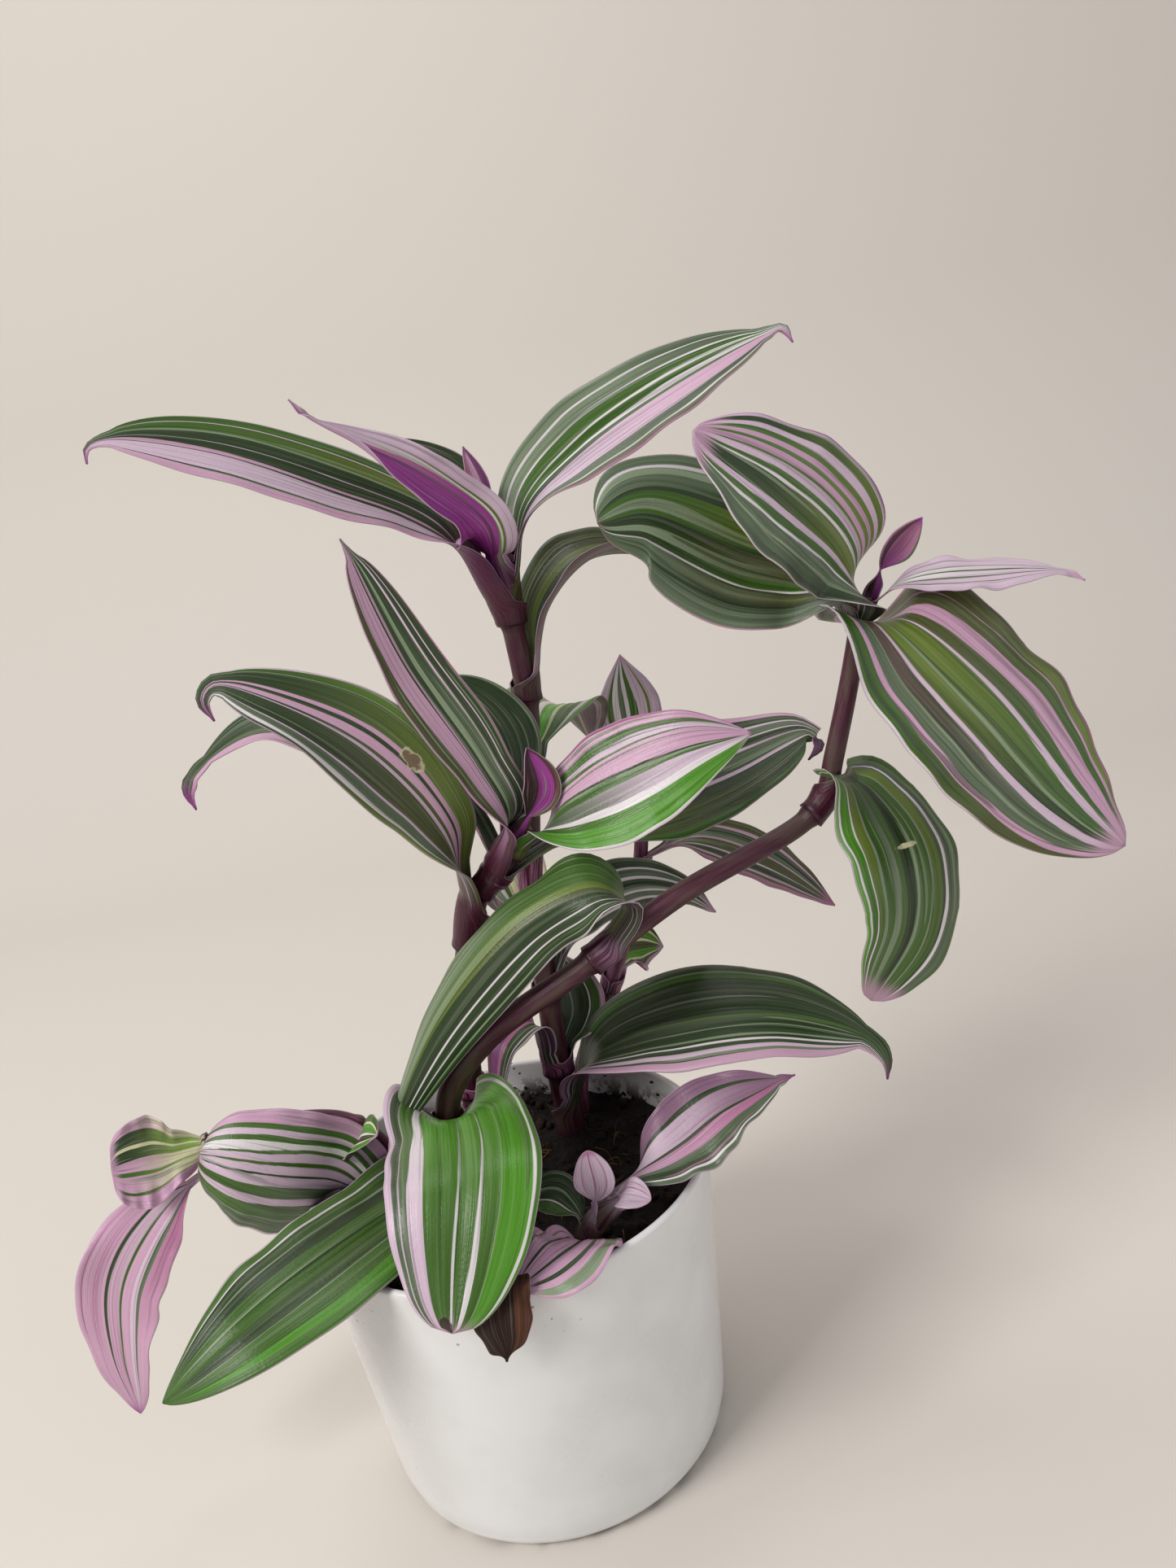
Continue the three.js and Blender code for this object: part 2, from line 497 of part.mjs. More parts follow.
// Two grids of points, one above the other, joined into one closed body
function shell(upper, lower, rows, columns) {
  const at = (row, column) => row * (columns + 1) + column;
  const below = upper.length;
  const faces = [];
  for (let row = 0; row < rows; row += 1) {
    for (let column = 0; column < columns; column += 1) {
      const [p, q] = [at(row, column), at(row, column + 1)];
      const [r, s] = [at(row + 1, column + 1), at(row + 1, column)];
      faces.push(p, q, r, p, r, s);
      faces.push(below + p, below + r, below + q, below + p, below + s, below + r);
    }
  }
  const rim = [];
  for (let column = 0; column < columns; column += 1) {
    rim.push(at(0, column));
  }
  for (let row = 0; row < rows; row += 1) {
    rim.push(at(row, columns));
  }
  for (let column = columns; column > 0; column -= 1) {
    rim.push(at(rows, column));
  }
  for (let row = rows; row > 0; row -= 1) {
    rim.push(at(row, 0));
  }
  rim.forEach((p, i) => {
    const q = rim[(i + 1) % rim.length];
    faces.push(p, below + p, below + q, p, below + q, q);
  });
  return indexed([...upper, ...lower], faces);
}

// The whole plant
const plant = new THREE.Group();
plant.name = 'potted_tradescantia';

function add(name, geometry, finish) {
  const mesh = new THREE.Mesh(geometry, new THREE.MeshStandardMaterial(FINISHES[finish]));
  mesh.name = name;
  plant.add(mesh);
}

add('pot', potGeometry(), 'pot');
add('soil', soilGeometry(Object.values(STEMS).map((stem) => stemGeometry(stem, GAP))), 'soil');
for (const [key, stem] of Object.entries(STEMS)) {
  add(`stem_${key}`, stemGeometry(stem), stem.finish);
}
for (const leaf of LEAVES) {
  add(leaf.name, leafGeometry(leaf), leaf.finish);
}

export default plant;
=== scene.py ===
# %% [markdown]
# # A potted tradescantia
#
# A small house plant: long pointed leaves striped in green, white and pink on arching purple
# stems, in a plain white cup. The solid parts are already made and come in as a fixed frame.
# This lesson dresses them: every leaf, stem, the soil and the cup get a fine surface in the
# place that the frame gives, and a finish worked out by nodes.

# %% Load the frame
import math

import bpy
import numpy as np
from mathutils import Matrix, Vector


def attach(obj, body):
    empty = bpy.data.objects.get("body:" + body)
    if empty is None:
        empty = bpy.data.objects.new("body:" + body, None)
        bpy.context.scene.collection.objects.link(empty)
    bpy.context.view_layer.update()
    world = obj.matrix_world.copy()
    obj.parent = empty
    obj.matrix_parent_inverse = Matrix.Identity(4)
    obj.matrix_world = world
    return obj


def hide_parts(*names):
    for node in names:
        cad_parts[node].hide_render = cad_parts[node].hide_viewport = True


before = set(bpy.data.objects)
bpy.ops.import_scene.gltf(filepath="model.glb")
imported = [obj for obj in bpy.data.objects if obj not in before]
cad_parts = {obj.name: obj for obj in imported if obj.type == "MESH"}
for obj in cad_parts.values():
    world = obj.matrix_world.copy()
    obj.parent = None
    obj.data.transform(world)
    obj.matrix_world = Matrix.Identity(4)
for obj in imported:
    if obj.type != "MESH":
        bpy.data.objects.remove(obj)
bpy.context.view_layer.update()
MM = 0.001
print("nodes", len(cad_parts))

# %% [markdown]
# ## Camera
#
# The view is that of a phone held a little above the cup, looking slightly down and tipped
# to one side. A camera looks along its own -Z axis, so it is first stood up about X, by a
# right angle less the dip of the view, and then rolled about its own axis.

# %% Camera
CAMERA_AT = (0.0304, -0.2187, 0.1982)
CAMERA_DIP = 14.8
CAMERA_ROLL = -10.4
CAMERA_LENS = 27.0

camera = bpy.data.objects.new("camera", bpy.data.cameras.new("camera"))
camera.data.lens = CAMERA_LENS
camera.data.clip_start = 0.01
camera.matrix_world = (
    Matrix.Translation(CAMERA_AT)
    @ Matrix.Rotation(math.radians(90 - CAMERA_DIP), 4, "X")
    @ Matrix.Rotation(math.radians(CAMERA_ROLL), 4, "Z")
)
bpy.context.scene.collection.objects.link(camera)
bpy.context.scene.camera = camera
print("camera looks along", [round(c, 3) for c in camera.matrix_world.to_3x3() @ Vector((0, 0, -1))])

# %% [markdown]
# ## Making meshes from whole arrays
#
# Every piece below is a formula on a grid of two numbers. The helper takes all its points and
# faces as arrays and puts them into a mesh at once, which is quick and keeps the formulas in
# one place. Points are given in millimetres, and turned into metres here.


# %% Mesh helper
def make_piece(name, points, faces, uv=None, values=None):
    """A smoothly shaded mesh object at the origin.

    points is an array of places in millimetres. faces is a list of arrays, each with the same
    number of corners on every row. uv has a pair for each point, and values names more
    numbers or vectors for each point.
    """
    mesh = bpy.data.meshes.new(name)
    corners = np.concatenate([block.ravel() for block in faces]).astype(np.int32)
    sizes = np.concatenate([np.full(len(block), block.shape[1]) for block in faces])
    starts = np.concatenate([[0], np.cumsum(sizes)[:-1]]).astype(np.int32)
    mesh.vertices.add(len(points))
    mesh.vertices.foreach_set("co", (points * MM).ravel())
    mesh.loops.add(len(corners))
    mesh.loops.foreach_set("vertex_index", corners)
    mesh.polygons.add(len(sizes))
    mesh.polygons.foreach_set("loop_start", starts)
    mesh.polygons.foreach_set("use_smooth", np.ones(len(sizes), dtype=bool))
    if uv is not None:
        mesh.uv_layers.new(name="place").data.foreach_set("uv", uv[corners].ravel())
    for key, numbers in (values or {}).items():
        kind, field = ("FLOAT_VECTOR", "vector") if numbers.ndim == 2 else ("FLOAT", "value")
        mesh.attributes.new(key, kind, "POINT").data.foreach_set(field, numbers.ravel())
    mesh.update(calc_edges=True)
    mesh.validate()
    piece = bpy.data.objects.new(name, mesh)
    bpy.context.scene.collection.objects.link(piece)
    return piece


def grid_faces(rows, columns, closed=False, start=0):
    """Four-cornered faces between rows of points, each row with the given number of points.

    A closed grid joins the last point of each row to its first.
    """
    row = np.arange(rows - 1)[:, None] * columns
    column = np.arange(columns if closed else columns - 1)[None, :]
    ahead = (column + 1) % columns
    corners = [row + column, row + ahead, row + columns + ahead, row + columns + column]
    return np.stack(corners, axis=-1).reshape(-1, 4) + start


def closed_skin(rings, first_pole, last_pole):
    """Points and faces of rings joined into a tube, with a fan to a pole at each end."""
    rows, sides = rings.shape[:2]
    count = rows * sides
    side = np.arange(sides)
    ahead = (side + 1) % sides
    last = count - sides
    first_fan = np.stack([ahead, side, np.full(sides, count)], axis=-1)
    last_fan = np.stack([last + side, last + ahead, np.full(sides, count + 1)], axis=-1)
    points = np.vstack([rings.reshape(-1, 3), first_pole, last_pole])
    return points, [grid_faces(rows, sides, closed=True), first_fan, last_fan]


def angles(count):
    """Even angles all the way round."""
    return np.arange(count) / count * 2 * math.pi


def polar(radius, angle):
    """The x and y of a place from its radius and its angle."""
    return radius * np.cos(angle), radius * np.sin(angle)


def stands_for(piece, node):
    """The piece rides on the plant's one body and hides its node."""
    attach(piece, "root")
    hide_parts(node)
    return piece


# %% [markdown]
# ## Room
#
# The plant stands on a pale sheet of card that sweeps up behind it, as in a small photo
# studio. One big soft light comes from the upper left in front, a weaker one from the right
# keeps the shadows open, a third from above and behind rims the leaves, and the grey world
# fills the rest.

# %% Room and lights
SWEEP_HALF = 1600
SWEEP_FRONT = -900
SWEEP_FOOT = 420
SWEEP_BEND = 300
SWEEP_TOP = 1500
SWEEP_ARC = 24
SWEEP_TINT = (0.70, 0.655, 0.60, 1)
SWEEP_ROUGHNESS = 0.9
LIT_MIDDLE = (0, 0, 0.12)
LIGHTS = {
    "key_light": dict(place=(-0.75, -0.6, 0.85), size=0.5, power=10.5, tint=(1, 0.975, 0.94)),
    "fill_light": dict(place=(0.9, -0.5, 0.45), size=0.8, power=1.6, tint=(1, 0.98, 0.96)),
    "top_light": dict(place=(-0.1, 0.25, 1.1), size=0.5, power=2.6, tint=(1, 0.98, 0.95)),
}
WORLD_TINT = (0.95, 0.96, 1, 1)
WORLD_STRENGTH = 0.40


def sweep_surface():
    """A floor that bends up into a wall: a straight, a quarter of a circle and a straight."""
    turn = np.linspace(0, math.pi / 2, SWEEP_ARC)
    back = SWEEP_FOOT + SWEEP_BEND
    y = np.concatenate([[SWEEP_FRONT], SWEEP_FOOT + SWEEP_BEND * np.sin(turn), [back]])
    z = np.concatenate([[0], SWEEP_BEND * (1 - np.cos(turn)), [SWEEP_TOP]])
    x = np.array([SWEEP_HALF, -SWEEP_HALF])
    points = np.stack(np.broadcast_arrays(x[None, :], y[:, None], z[:, None]), axis=-1)
    return points.reshape(-1, 3), [grid_faces(len(y), 2)[:, ::-1]]


floor = make_piece("floor_sweep", *sweep_surface())


def card_finish():
    """A matt finish with one tint."""
    material = bpy.data.materials.new("pale_card")
    material.use_nodes = True
    shader = material.node_tree.nodes["Principled BSDF"]
    shader.inputs["Base Color"].default_value = SWEEP_TINT
    shader.inputs["Roughness"].default_value = SWEEP_ROUGHNESS
    return material


floor.data.materials.append(card_finish())


def soft_light(name, place, size, power, tint):
    """A square area light that looks at the middle of the plant."""
    light = bpy.data.lights.new(name, "AREA")
    light.shape = "SQUARE"
    light.size = size
    light.energy = power
    light.color = tint
    lamp = bpy.data.objects.new(name, light)
    away = Vector(place) - Vector(LIT_MIDDLE)
    lamp.matrix_world = Matrix.Translation(place) @ away.to_track_quat("Z", "Y").to_matrix().to_4x4()
    bpy.context.scene.collection.objects.link(lamp)


for name, light in LIGHTS.items():
    soft_light(name, **light)

world = bpy.data.worlds.new("grey_room")
world.use_nodes = True
background = world.node_tree.nodes["Background"]
background.inputs["Color"].default_value = WORLD_TINT
background.inputs["Strength"].default_value = WORLD_STRENGTH
bpy.context.scene.world = world
bpy.context.scene.view_settings.view_transform = "Standard"
print("sweep faces", len(floor.data.polygons), "lights", len(LIGHTS))

# %% [markdown]
# ## Tints
#
# A tradescantia leaf is a set of lengthwise bands: where the green layer is whole the leaf is
# deep green, where air lies under the skin it looks silvery, and where the green is missing
# the pink underside shows through. These few tints are used by every leaf,
# and the last ones by the veins, the cup and the soil.


# %% Tints
def tint(code):
    """A linear colour from the six digits of a screen colour."""
    screen = np.array([int(code[i:i + 2], 16) for i in (0, 2, 4)]) / 255
    linear = np.where(screen <= 0.04045, screen / 12.92, ((screen + 0.055) / 1.055) ** 2.4)
    return (*[float(c) for c in linear], 1.0)


TINTS = {name: tint(code) for name, code in {
    "deep": "223810", "green": "3a5f14", "sage": "7d8d70", "grey": "54644a", "olive": "494f24",
    "moss": "617520", "lime": "4a8a10", "spring": "86a548", "white": "d9d2d4", "cream": "d6d3ac",
    "lilac": "cbb3c5", "pink": "c499b4", "rose": "a9668c", "mauve": "85607a", "magenta": "98308e",
    "violet": "6f2d66", "plum": "3e1627", "wine": "562538", "taupe": "56463c", "brown": "56311c",
    "umber": "2a150d", "pale_vein": "c9cdb8", "dark_vein": "4c5640", "light": "ffffff",
    "plastic": "e6e6e6", "rubbed": "dddddc", "inside": "d6cfc6", "dirt": "33241a",
    "soil_dark": "140d09", "soil_light": "2c1d13", "crumb_dark": "1a110b", "crumb_light": "3c2a1d",
    "root_dark": "4b3524", "root_light": "7a5a3c", "grain": "6b5138",
}.items()}
print("tints", len(TINTS))

# %% [markdown]
# ## Curves
#
# Stems and midribs follow the same kind of line as the solid parts: a smooth curve through a
# few places, read by shares of its length.


# %% Curves
def smoothstep(value, low, high):
    """Zero below low, one above high, and an even S between them."""
    share = np.clip((value - low) / (high - low), 0, 1)
    return share * share * (3 - 2 * share)


def blend(first, second, share):
    """The mix of two arrays: all of the first at share 0 and all of the second at 1."""
    return first * (1 - share) + second * share


def unit(vectors):
    """Each vector divided by its length."""
    return vectors / np.linalg.norm(vectors, axis=-1, keepdims=True)


def dot(first, second):
    """The dot product of each pair of vectors, kept as a column."""
    return np.sum(first * second, axis=-1, keepdims=True)


class Line:
    """A centripetal Catmull-Rom curve, read by its share of the length.

    Each span between two places is a cubic. Its slopes come from the neighbours on both
    sides, weighted by the square roots of the distances, and past each end the next place
    is the mirror of the one before it.
    """

    FINE = 48

    def __init__(self, places):
        p = np.asarray(places, dtype=float)
        p = np.vstack([2 * p[0] - p[1], p, 2 * p[-1] - p[-2]])
        gap = np.sqrt(np.linalg.norm(np.diff(p, axis=0), axis=1))[:, None]
        d0, d1, d2 = gap[:-2], gap[1:-1], gap[2:]
        a, b, c, d = p[:-3], p[1:-2], p[2:-1], p[3:]
        slope_b = ((b - a) / d0 - (c - a) / (d0 + d1) + (c - b) / d1) * d1
        slope_c = ((c - b) / d1 - (d - b) / (d1 + d2) + (d - c) / d2) * d1
        t = (np.arange(self.FINE) / self.FINE)[None, :, None]
        cubic = (
            b[:, None] + slope_b[:, None] * t
            + (3 * (c - b) - 2 * slope_b - slope_c)[:, None] * t ** 2
            + (2 * (b - c) + slope_b + slope_c)[:, None] * t ** 3
        )
        self.points = np.vstack([cubic.reshape(-1, 3), p[-2]])
        steps = np.linalg.norm(np.diff(self.points, axis=0), axis=1)
        self.walked = np.concatenate([[0], np.cumsum(steps)])
        self.length = self.walked[-1]
        self.slopes = unit(np.gradient(self.points, self.walked, axis=0))

    def at(self, share):
        """The places and the directions at shares of the length."""
        walked = np.clip(np.atleast_1d(share), 0, 1) * self.length
        place, along = (
            np.stack([np.interp(walked, self.walked, column) for column in table.T], axis=-1)
            for table in (self.points, self.slopes)
        )
        return place, unit(along)


# %% [markdown]
# ## Stems
#
# A tradescantia stem is a chain of joints. Each node is a slightly swollen ring, from which the
# sheath of a leaf rises, and those belong to the leaves below. The stem itself is a round
# profile carried along its line. On the tall stem one old sheath has lost its leaf: there the
# profile steps out into a collar, runs up to the mouth, folds back in and goes on along the
# bare stem, so collar and stem are one skin.

# %% Stem table
STEM_FOOT = 46
STEMS = {
    "a": dict(
        slot="stem", radius=(2.8, 2.2), collar=(0.445, 0.53),
        rings=(0.05, 0.155, 0.285, 0.37, 0.62, 0.756, 0.87),
        points=[(13, 24, STEM_FOOT), (12, 25, 65), (13, 25, 86), (14, 26, 113), (17, 26, 131),
                (21, 26, 154), (21, 25, 170), (21, 24, 179), (22, 23, 189)]),
    "b": dict(
        slot="stem", radius=(2.8, 1.8), rings=(0.055, 0.147, 0.45, 0.747),
        points=[(-11, 8, STEM_FOOT), (-11, 3, 66), (-9, -1, 81), (1, -3, 93), (23, -4, 105),
                (44, -1, 115), (71, 3, 124), (76, 4, 128), (79, 4, 136), (84, 4, 151), (88, 3, 166)]),
    "c": dict(
        slot="stem", radius=(2.9, 2.2), rings=(0.233, 0.665, 0.81, 0.865, 0.93),
        points=[(-8, 26, STEM_FOOT), (-8, 24, 69), (-4, 18, 94), (-1, 15, 106), (4, 12, 118),
                (10, 10, 124), (16, 9, 132)]),
    "d": dict(
        slot="runner", radius=(1.9, 1.6), rings=(0.383, 0.655, 0.9),
        points=[(14, 30, STEM_FOOT), (17, 33, 64), (26, 40, 78), (36, 44, 98), (40, 45, 111),
                (42, 47, 124), (44, 48, 134)]),
    "g": dict(
        slot="runner", radius=(2.5, 2.1), rings=(0.45, 0.82, 0.95),
        points=[(-26, 19, STEM_FOOT), (-29, 15, 63), (-34, 9, 74), (-44, 4, 79), (-53, 2, 79),
                (-62, 0, 79)]),
    "k": dict(
        slot="runner", radius=(2.2, 1.7), rings=(0.54, 0.85),
        points=[(-26, 5, STEM_FOOT), (-29, 4, 58), (-33, 4, 70)]),
    "s": dict(
        slot="runner", radius=(2.0, 1.1), rings=(0.25, 0.42),
        points=[(12, -23, STEM_FOOT), (14, -24, 58), (18, -24, 63), (25, -22, 66)]),
}
for stem in STEMS.values():
    stem["line"] = Line(stem["points"])
print("stem lengths in mm", {key: round(stem["line"].length) for key, stem in STEMS.items()})

# %% Stem surface
STEM_STEP = 0.7
STEM_SIDES = 40
RING_RISE = 0.4
RING_REACH = 1.0
COLLAR_FOOT = 0.3
COLLAR_FLARE = 0.5
COLLAR_SKIN = 0.22
COLLAR_DEPTH = 3.0
COLLAR_BACK_ROWS = 5
COLLAR_SEAM = 0.1
COLLAR_LEFT = 0.02
DARK_REACH = 1.6
ROUND_START = (0.25, 1.0, 0.0)


def stem_radius(stem, way):
    """The bare radius, which runs evenly from one end to the other, plus a bell at each ring."""
    length = stem["line"].length
    radius = blend(*stem["radius"], way / length)
    for ring in stem["rings"]:
        radius = radius + RING_RISE * np.exp(-(((way - ring * length) / RING_REACH) ** 2))
    return radius


def stem_profile(stem):
    """For each row of points the way along the stem, the radius and how much of a collar it is.

    The rows of a collar rise with a growing radius, then fold in and go back down for a few
    millimetres before the bare stem goes on.
    """
    length = stem["line"].length
    parts = []
    last = 0.0
    if "collar" in stem:
        first, end = (share * length for share in stem["collar"])
        below = np.arange(last, first, STEM_STEP)
        share = np.linspace(0, 1, int((end - first) / STEM_STEP))
        rise = first + share * (end - first)
        outer = stem_radius(stem, rise) + COLLAR_FOOT * share ** 0.5 + COLLAR_FLARE * share ** 2
        back = end - np.linspace(COLLAR_SEAM, COLLAR_DEPTH, COLLAR_BACK_ROWS)
        mouth = COLLAR_FOOT + COLLAR_FLARE - COLLAR_SKIN
        inner = stem_radius(stem, back) + np.linspace(mouth, COLLAR_LEFT, COLLAR_BACK_ROWS)
        parts = [(below, stem_radius(stem, below), 0), (rise, outer, 1), (back, inner, 0.5)]
        last = end - COLLAR_DEPTH + COLLAR_SEAM
    above = np.linspace(last, length, int((length - last) / STEM_STEP))
    parts.append((above, stem_radius(stem, above), 0))
    parts = [(way, radius, np.full(len(way), skin)) for way, radius, skin in parts]
    return [np.concatenate(column) for column in zip(*parts)]


def make_stem(key, stem):
    """A round skin along the stem's line, closed at both ends."""
    way, radius, collar = stem_profile(stem)
    length = stem["line"].length
    place, along = stem["line"].at(way / length)
    side = np.array(ROUND_START)
    side = unit(side - dot(along, side) * along)
    other = np.cross(along, side)
    cosine, sine = polar(1, angles(STEM_SIDES))
    round_way = cosine[:, None] * side[:, None] + sine[:, None] * other[:, None]
    points, faces = closed_skin(place[:, None] + radius[:, None, None] * round_way, place[0], place[-1])
    grain = np.stack(np.broadcast_arrays(cosine, sine, way[:, None]), axis=-1).reshape(-1, 3)
    grain = np.vstack([grain, [0, 0, way[0]], [0, 0, way[-1]]])
    rings = sum(np.exp(-(((way - ring * length) / DARK_REACH) ** 2)) for ring in stem["rings"])
    values = {"grain": grain}
    for name, numbers in (("collar", collar), ("ring", rings)):
        values[name] = np.concatenate([np.repeat(numbers, STEM_SIDES), [0, 0]])
    return make_piece(f"stalk_{key}", points, faces, values=values)


# %% [markdown]
# The skin of a stem is dark purple with fine lengthwise streaks, nearly black at the nodes.
# A collar is paler, with pink ribs. The finish reads what the mesh carries for each point:
# the way round and along, how much of a collar it is and how near a node.


# %% Stem finish
class Nodes:
    """A short way to write a node tree: each call adds a node and links its inputs."""

    def __init__(self, name):
        self.material = bpy.data.materials.new(name)
        self.material.use_nodes = True
        self.tree = self.material.node_tree
        self.shader = self.tree.nodes["Principled BSDF"]

    def add(self, kind, settings=None, **inputs):
        """A node of a kind, with its settings, and a value or a link for each input.

        An input goes by its name, or by the letter i and its number.
        """
        node = self.tree.nodes.new(kind)
        for key, value in (settings or {}).items():
            setattr(node, key, value)
        for key, value in inputs.items():
            self.put(node.inputs[int(key[1:]) if key[1:].isdigit() else key], value)
        return node

    def put(self, socket, value):
        """Links a socket, or sets its value."""
        if isinstance(value, bpy.types.NodeSocket):
            self.tree.links.new(value, socket)
        else:
            socket.default_value = value

    def math(self, operation, *numbers):
        """A sum, product or the like of up to three numbers."""
        inputs = {f"i{place}": number for place, number in enumerate(numbers)}
        return self.add("ShaderNodeMath", {"operation": operation}, **inputs).outputs[0]

    def times(self, first, second):
        """The product of two numbers."""
        return self.math("MULTIPLY", first, second)

    def less(self, first, second):
        """The first number less the second."""
        return self.math("SUBTRACT", first, second)

    def line(self, value, factor, level):
        """The value times a factor, plus a level."""
        return self.math("MULTIPLY_ADD", value, factor, level)

    def mix(self, share, first, second, kind="MIX"):
        """A mix of two tints, each given by its name or by a socket."""
        first, second = (TINTS[tone] if isinstance(tone, str) else tone for tone in (first, second))
        settings = {"data_type": "RGBA", "blend_type": kind}
        node = self.add("ShaderNodeMix", settings, i0=share, i6=first, i7=second)
        return node.outputs[2]

    def step(self, value, low, high, start=0.0, end=1.0):
        """An even S from start to end as the value goes from low to high."""
        node = self.add("ShaderNodeMapRange", {"interpolation_type": "SMOOTHSTEP"},
                        i0=value, i1=low, i2=high, i3=start, i4=end)
        return node.outputs[0]

    def noise(self, vector, scale=1.0, detail=2.0, roughness=0.5):
        """A cloudy pattern from 0 to 1."""
        node = self.add("ShaderNodeTexNoise", None, Vector=vector, Scale=scale, Detail=detail,
                        Roughness=roughness)
        return node.outputs["Fac"]

    def cells(self, vector, scale):
        """The distance to the nearest of many scattered points."""
        return self.add("ShaderNodeTexVoronoi", None, Vector=vector, Scale=scale).outputs["Distance"]

    def pack(self, x, y, z=0.0):
        """A vector from three numbers."""
        return self.add("ShaderNodeCombineXYZ", None, X=x, Y=y, Z=z).outputs[0]

    def split(self, vector):
        """The three numbers of a vector."""
        return self.add("ShaderNodeSeparateXYZ", None, i0=vector).outputs

    def spot(self):
        """The place on the piece in metres."""
        return self.add("ShaderNodeTexCoord").outputs["Object"]

    def stored(self, name, part="Fac"):
        """A number or vector that the mesh stores for each point."""
        return self.add("ShaderNodeAttribute", {"attribute_name": name}).outputs[part]

    def bump(self, height, distance, strength=1.0):
        """A fine relief for the shader."""
        node = self.add("ShaderNodeBump", None, Height=height, Distance=distance, Strength=strength)
        self.put(self.shader.inputs["Normal"], node.outputs[0])

    def finish(self, color, roughness, **constants):
        """Links the colour and roughness, and sets the shader's plain values."""
        self.put(self.shader.inputs["Base Color"], color)
        self.put(self.shader.inputs["Roughness"], roughness)
        for key, value in constants.items():
            self.shader.inputs[key.replace("_", " ")].default_value = value
        return self.material


STREAKS_ROUND = 9.0
STREAKS_ALONG = 0.12
CLOUDS_ALONG = 0.07


def stem_finish(name, bare, streak, patch, collar):
    """Streaks along the stem, dull patches, dark rings, and paler lines on a collar."""
    n = Nodes(name)
    cosine, sine, way = n.split(n.stored("grain", "Vector"))
    around = (n.times(cosine, STREAKS_ROUND), n.times(sine, STREAKS_ROUND))
    streaks = n.noise(n.pack(*around, n.times(way, STREAKS_ALONG)), detail=3.0)
    clouds = n.noise(n.pack(cosine, sine, n.times(way, CLOUDS_ALONG)), scale=1.3)
    skin = n.mix(n.step(streaks, 0.4, 0.62), bare, streak)
    skin = n.mix(n.step(clouds, 0.42, 0.62, 0.0, 0.7), skin, patch)
    lined = n.mix(n.step(streaks, 0.42, 0.58), "plum", collar)
    color = n.mix(n.step(n.stored("collar"), 0.2, 0.6), skin, lined)
    color = n.mix(n.step(n.stored("ring"), 0.15, 1.0, 0.0, 0.8), color, "plum")
    n.bump(streaks, 0.0002, 0.5)
    return n.finish(color, n.step(streaks, 0.3, 0.7, 0.34, 0.5), Specular_IOR_Level=0.45)


STEM_SKINS = {
    "stem": stem_finish("stem_skin", "plum", "wine", "taupe", "rose"),
    "runner": stem_finish("runner_skin", "wine", "rose", "plum", "pink"),
}
for key, stem in STEMS.items():
    stalk = make_stem(key, stem)
    stalk.data.materials.append(STEM_SKINS[stem["slot"]])
    stands_for(stalk, f"stem_{key}")
    print(stalk.name, "faces", len(stalk.data.polygons))

# %% [markdown]
# ## Cup
#
# The cup is a thin moulded shell of white plastic. Its wall is a profile turned about the
# middle: flat underside, an arc at the foot, a straight leaning wall, a half-round lip, and
# the inside back down to the floor. Arcs have many rows, so the lip catches a clean line of
# light.

# %% Cup surface
RIM_RADIUS = 42
POT_HEIGHT = 64
BASE_RADIUS = 36
WALL = 1.6
POT_FLOOR = 2.4
FOOT_ROUNDING = 4
POT_SIDES = 192
ARC_ROWS = 14
WALL_ROWS = 24
FLOOR_ROUNDING = 2
FLOOR_ROWS = 6
UNDER_RINGS = ((12, 0), (24, 0))
FLOOR_RING = (12, POT_FLOOR)


def wall_radius(z):
    """The outside radius of the cup, which grows evenly from the base to the rim."""
    return BASE_RADIUS + (RIM_RADIUS - BASE_RADIUS) * z / POT_HEIGHT


def arc(radius, height, size, start, end, count):
    """Points on part of a circle: its centre's radius and height, its size and two angles."""
    turn = np.radians(np.linspace(start, end, count))
    return np.stack([radius + size * np.cos(turn), height + size * np.sin(turn)], axis=-1)


def cup_profile():
    """Radius and height from the middle of the underside, out, up, over the lip and back in."""
    foot = arc(wall_radius(0) - FOOT_ROUNDING, FOOT_ROUNDING, FOOT_ROUNDING, -90, -5, ARC_ROWS)
    up = np.linspace(FOOT_ROUNDING + 1, POT_HEIGHT - 2, WALL_ROWS)
    outside = np.stack([wall_radius(up), up], axis=-1)
    lip = arc(RIM_RADIUS - WALL / 2, POT_HEIGHT - WALL / 2, WALL / 2, 5, 175, ARC_ROWS)
    down = np.linspace(POT_HEIGHT - 2, POT_FLOOR + FLOOR_ROUNDING, WALL_ROWS)
    inside = np.stack([wall_radius(down) - WALL, down], axis=-1)
    corner_at = wall_radius(POT_FLOOR) - WALL - FLOOR_ROUNDING
    corner = arc(corner_at, POT_FLOOR + FLOOR_ROUNDING, FLOOR_ROUNDING, -5, -90, FLOOR_ROWS)
    return np.vstack([UNDER_RINGS, foot, outside, lip, inside, corner, FLOOR_RING])


def turned(profile, sides):
    """A profile carried round the vertical axis, closed by a fan at each end."""
    x, y = polar(profile[:, :1], angles(sides))
    rings = np.stack([x, y, np.broadcast_to(profile[:, 1:], x.shape)], axis=-1)
    return closed_skin(rings, [0, 0, profile[0, 1]], [0, 0, profile[-1, 1]])


cup = make_piece("cup", *turned(cup_profile(), POT_SIDES))
stands_for(cup, "pot")
print("cup faces", len(cup.data.polygons))

# %% [markdown]
# The plastic is glossy and not quite even: a very slow waviness from the mould, faint rubbed
# patches that are a little rougher, and small dark specks of soil that stick below the rim
# outside and in a denser belt on the inner wall above the soil.


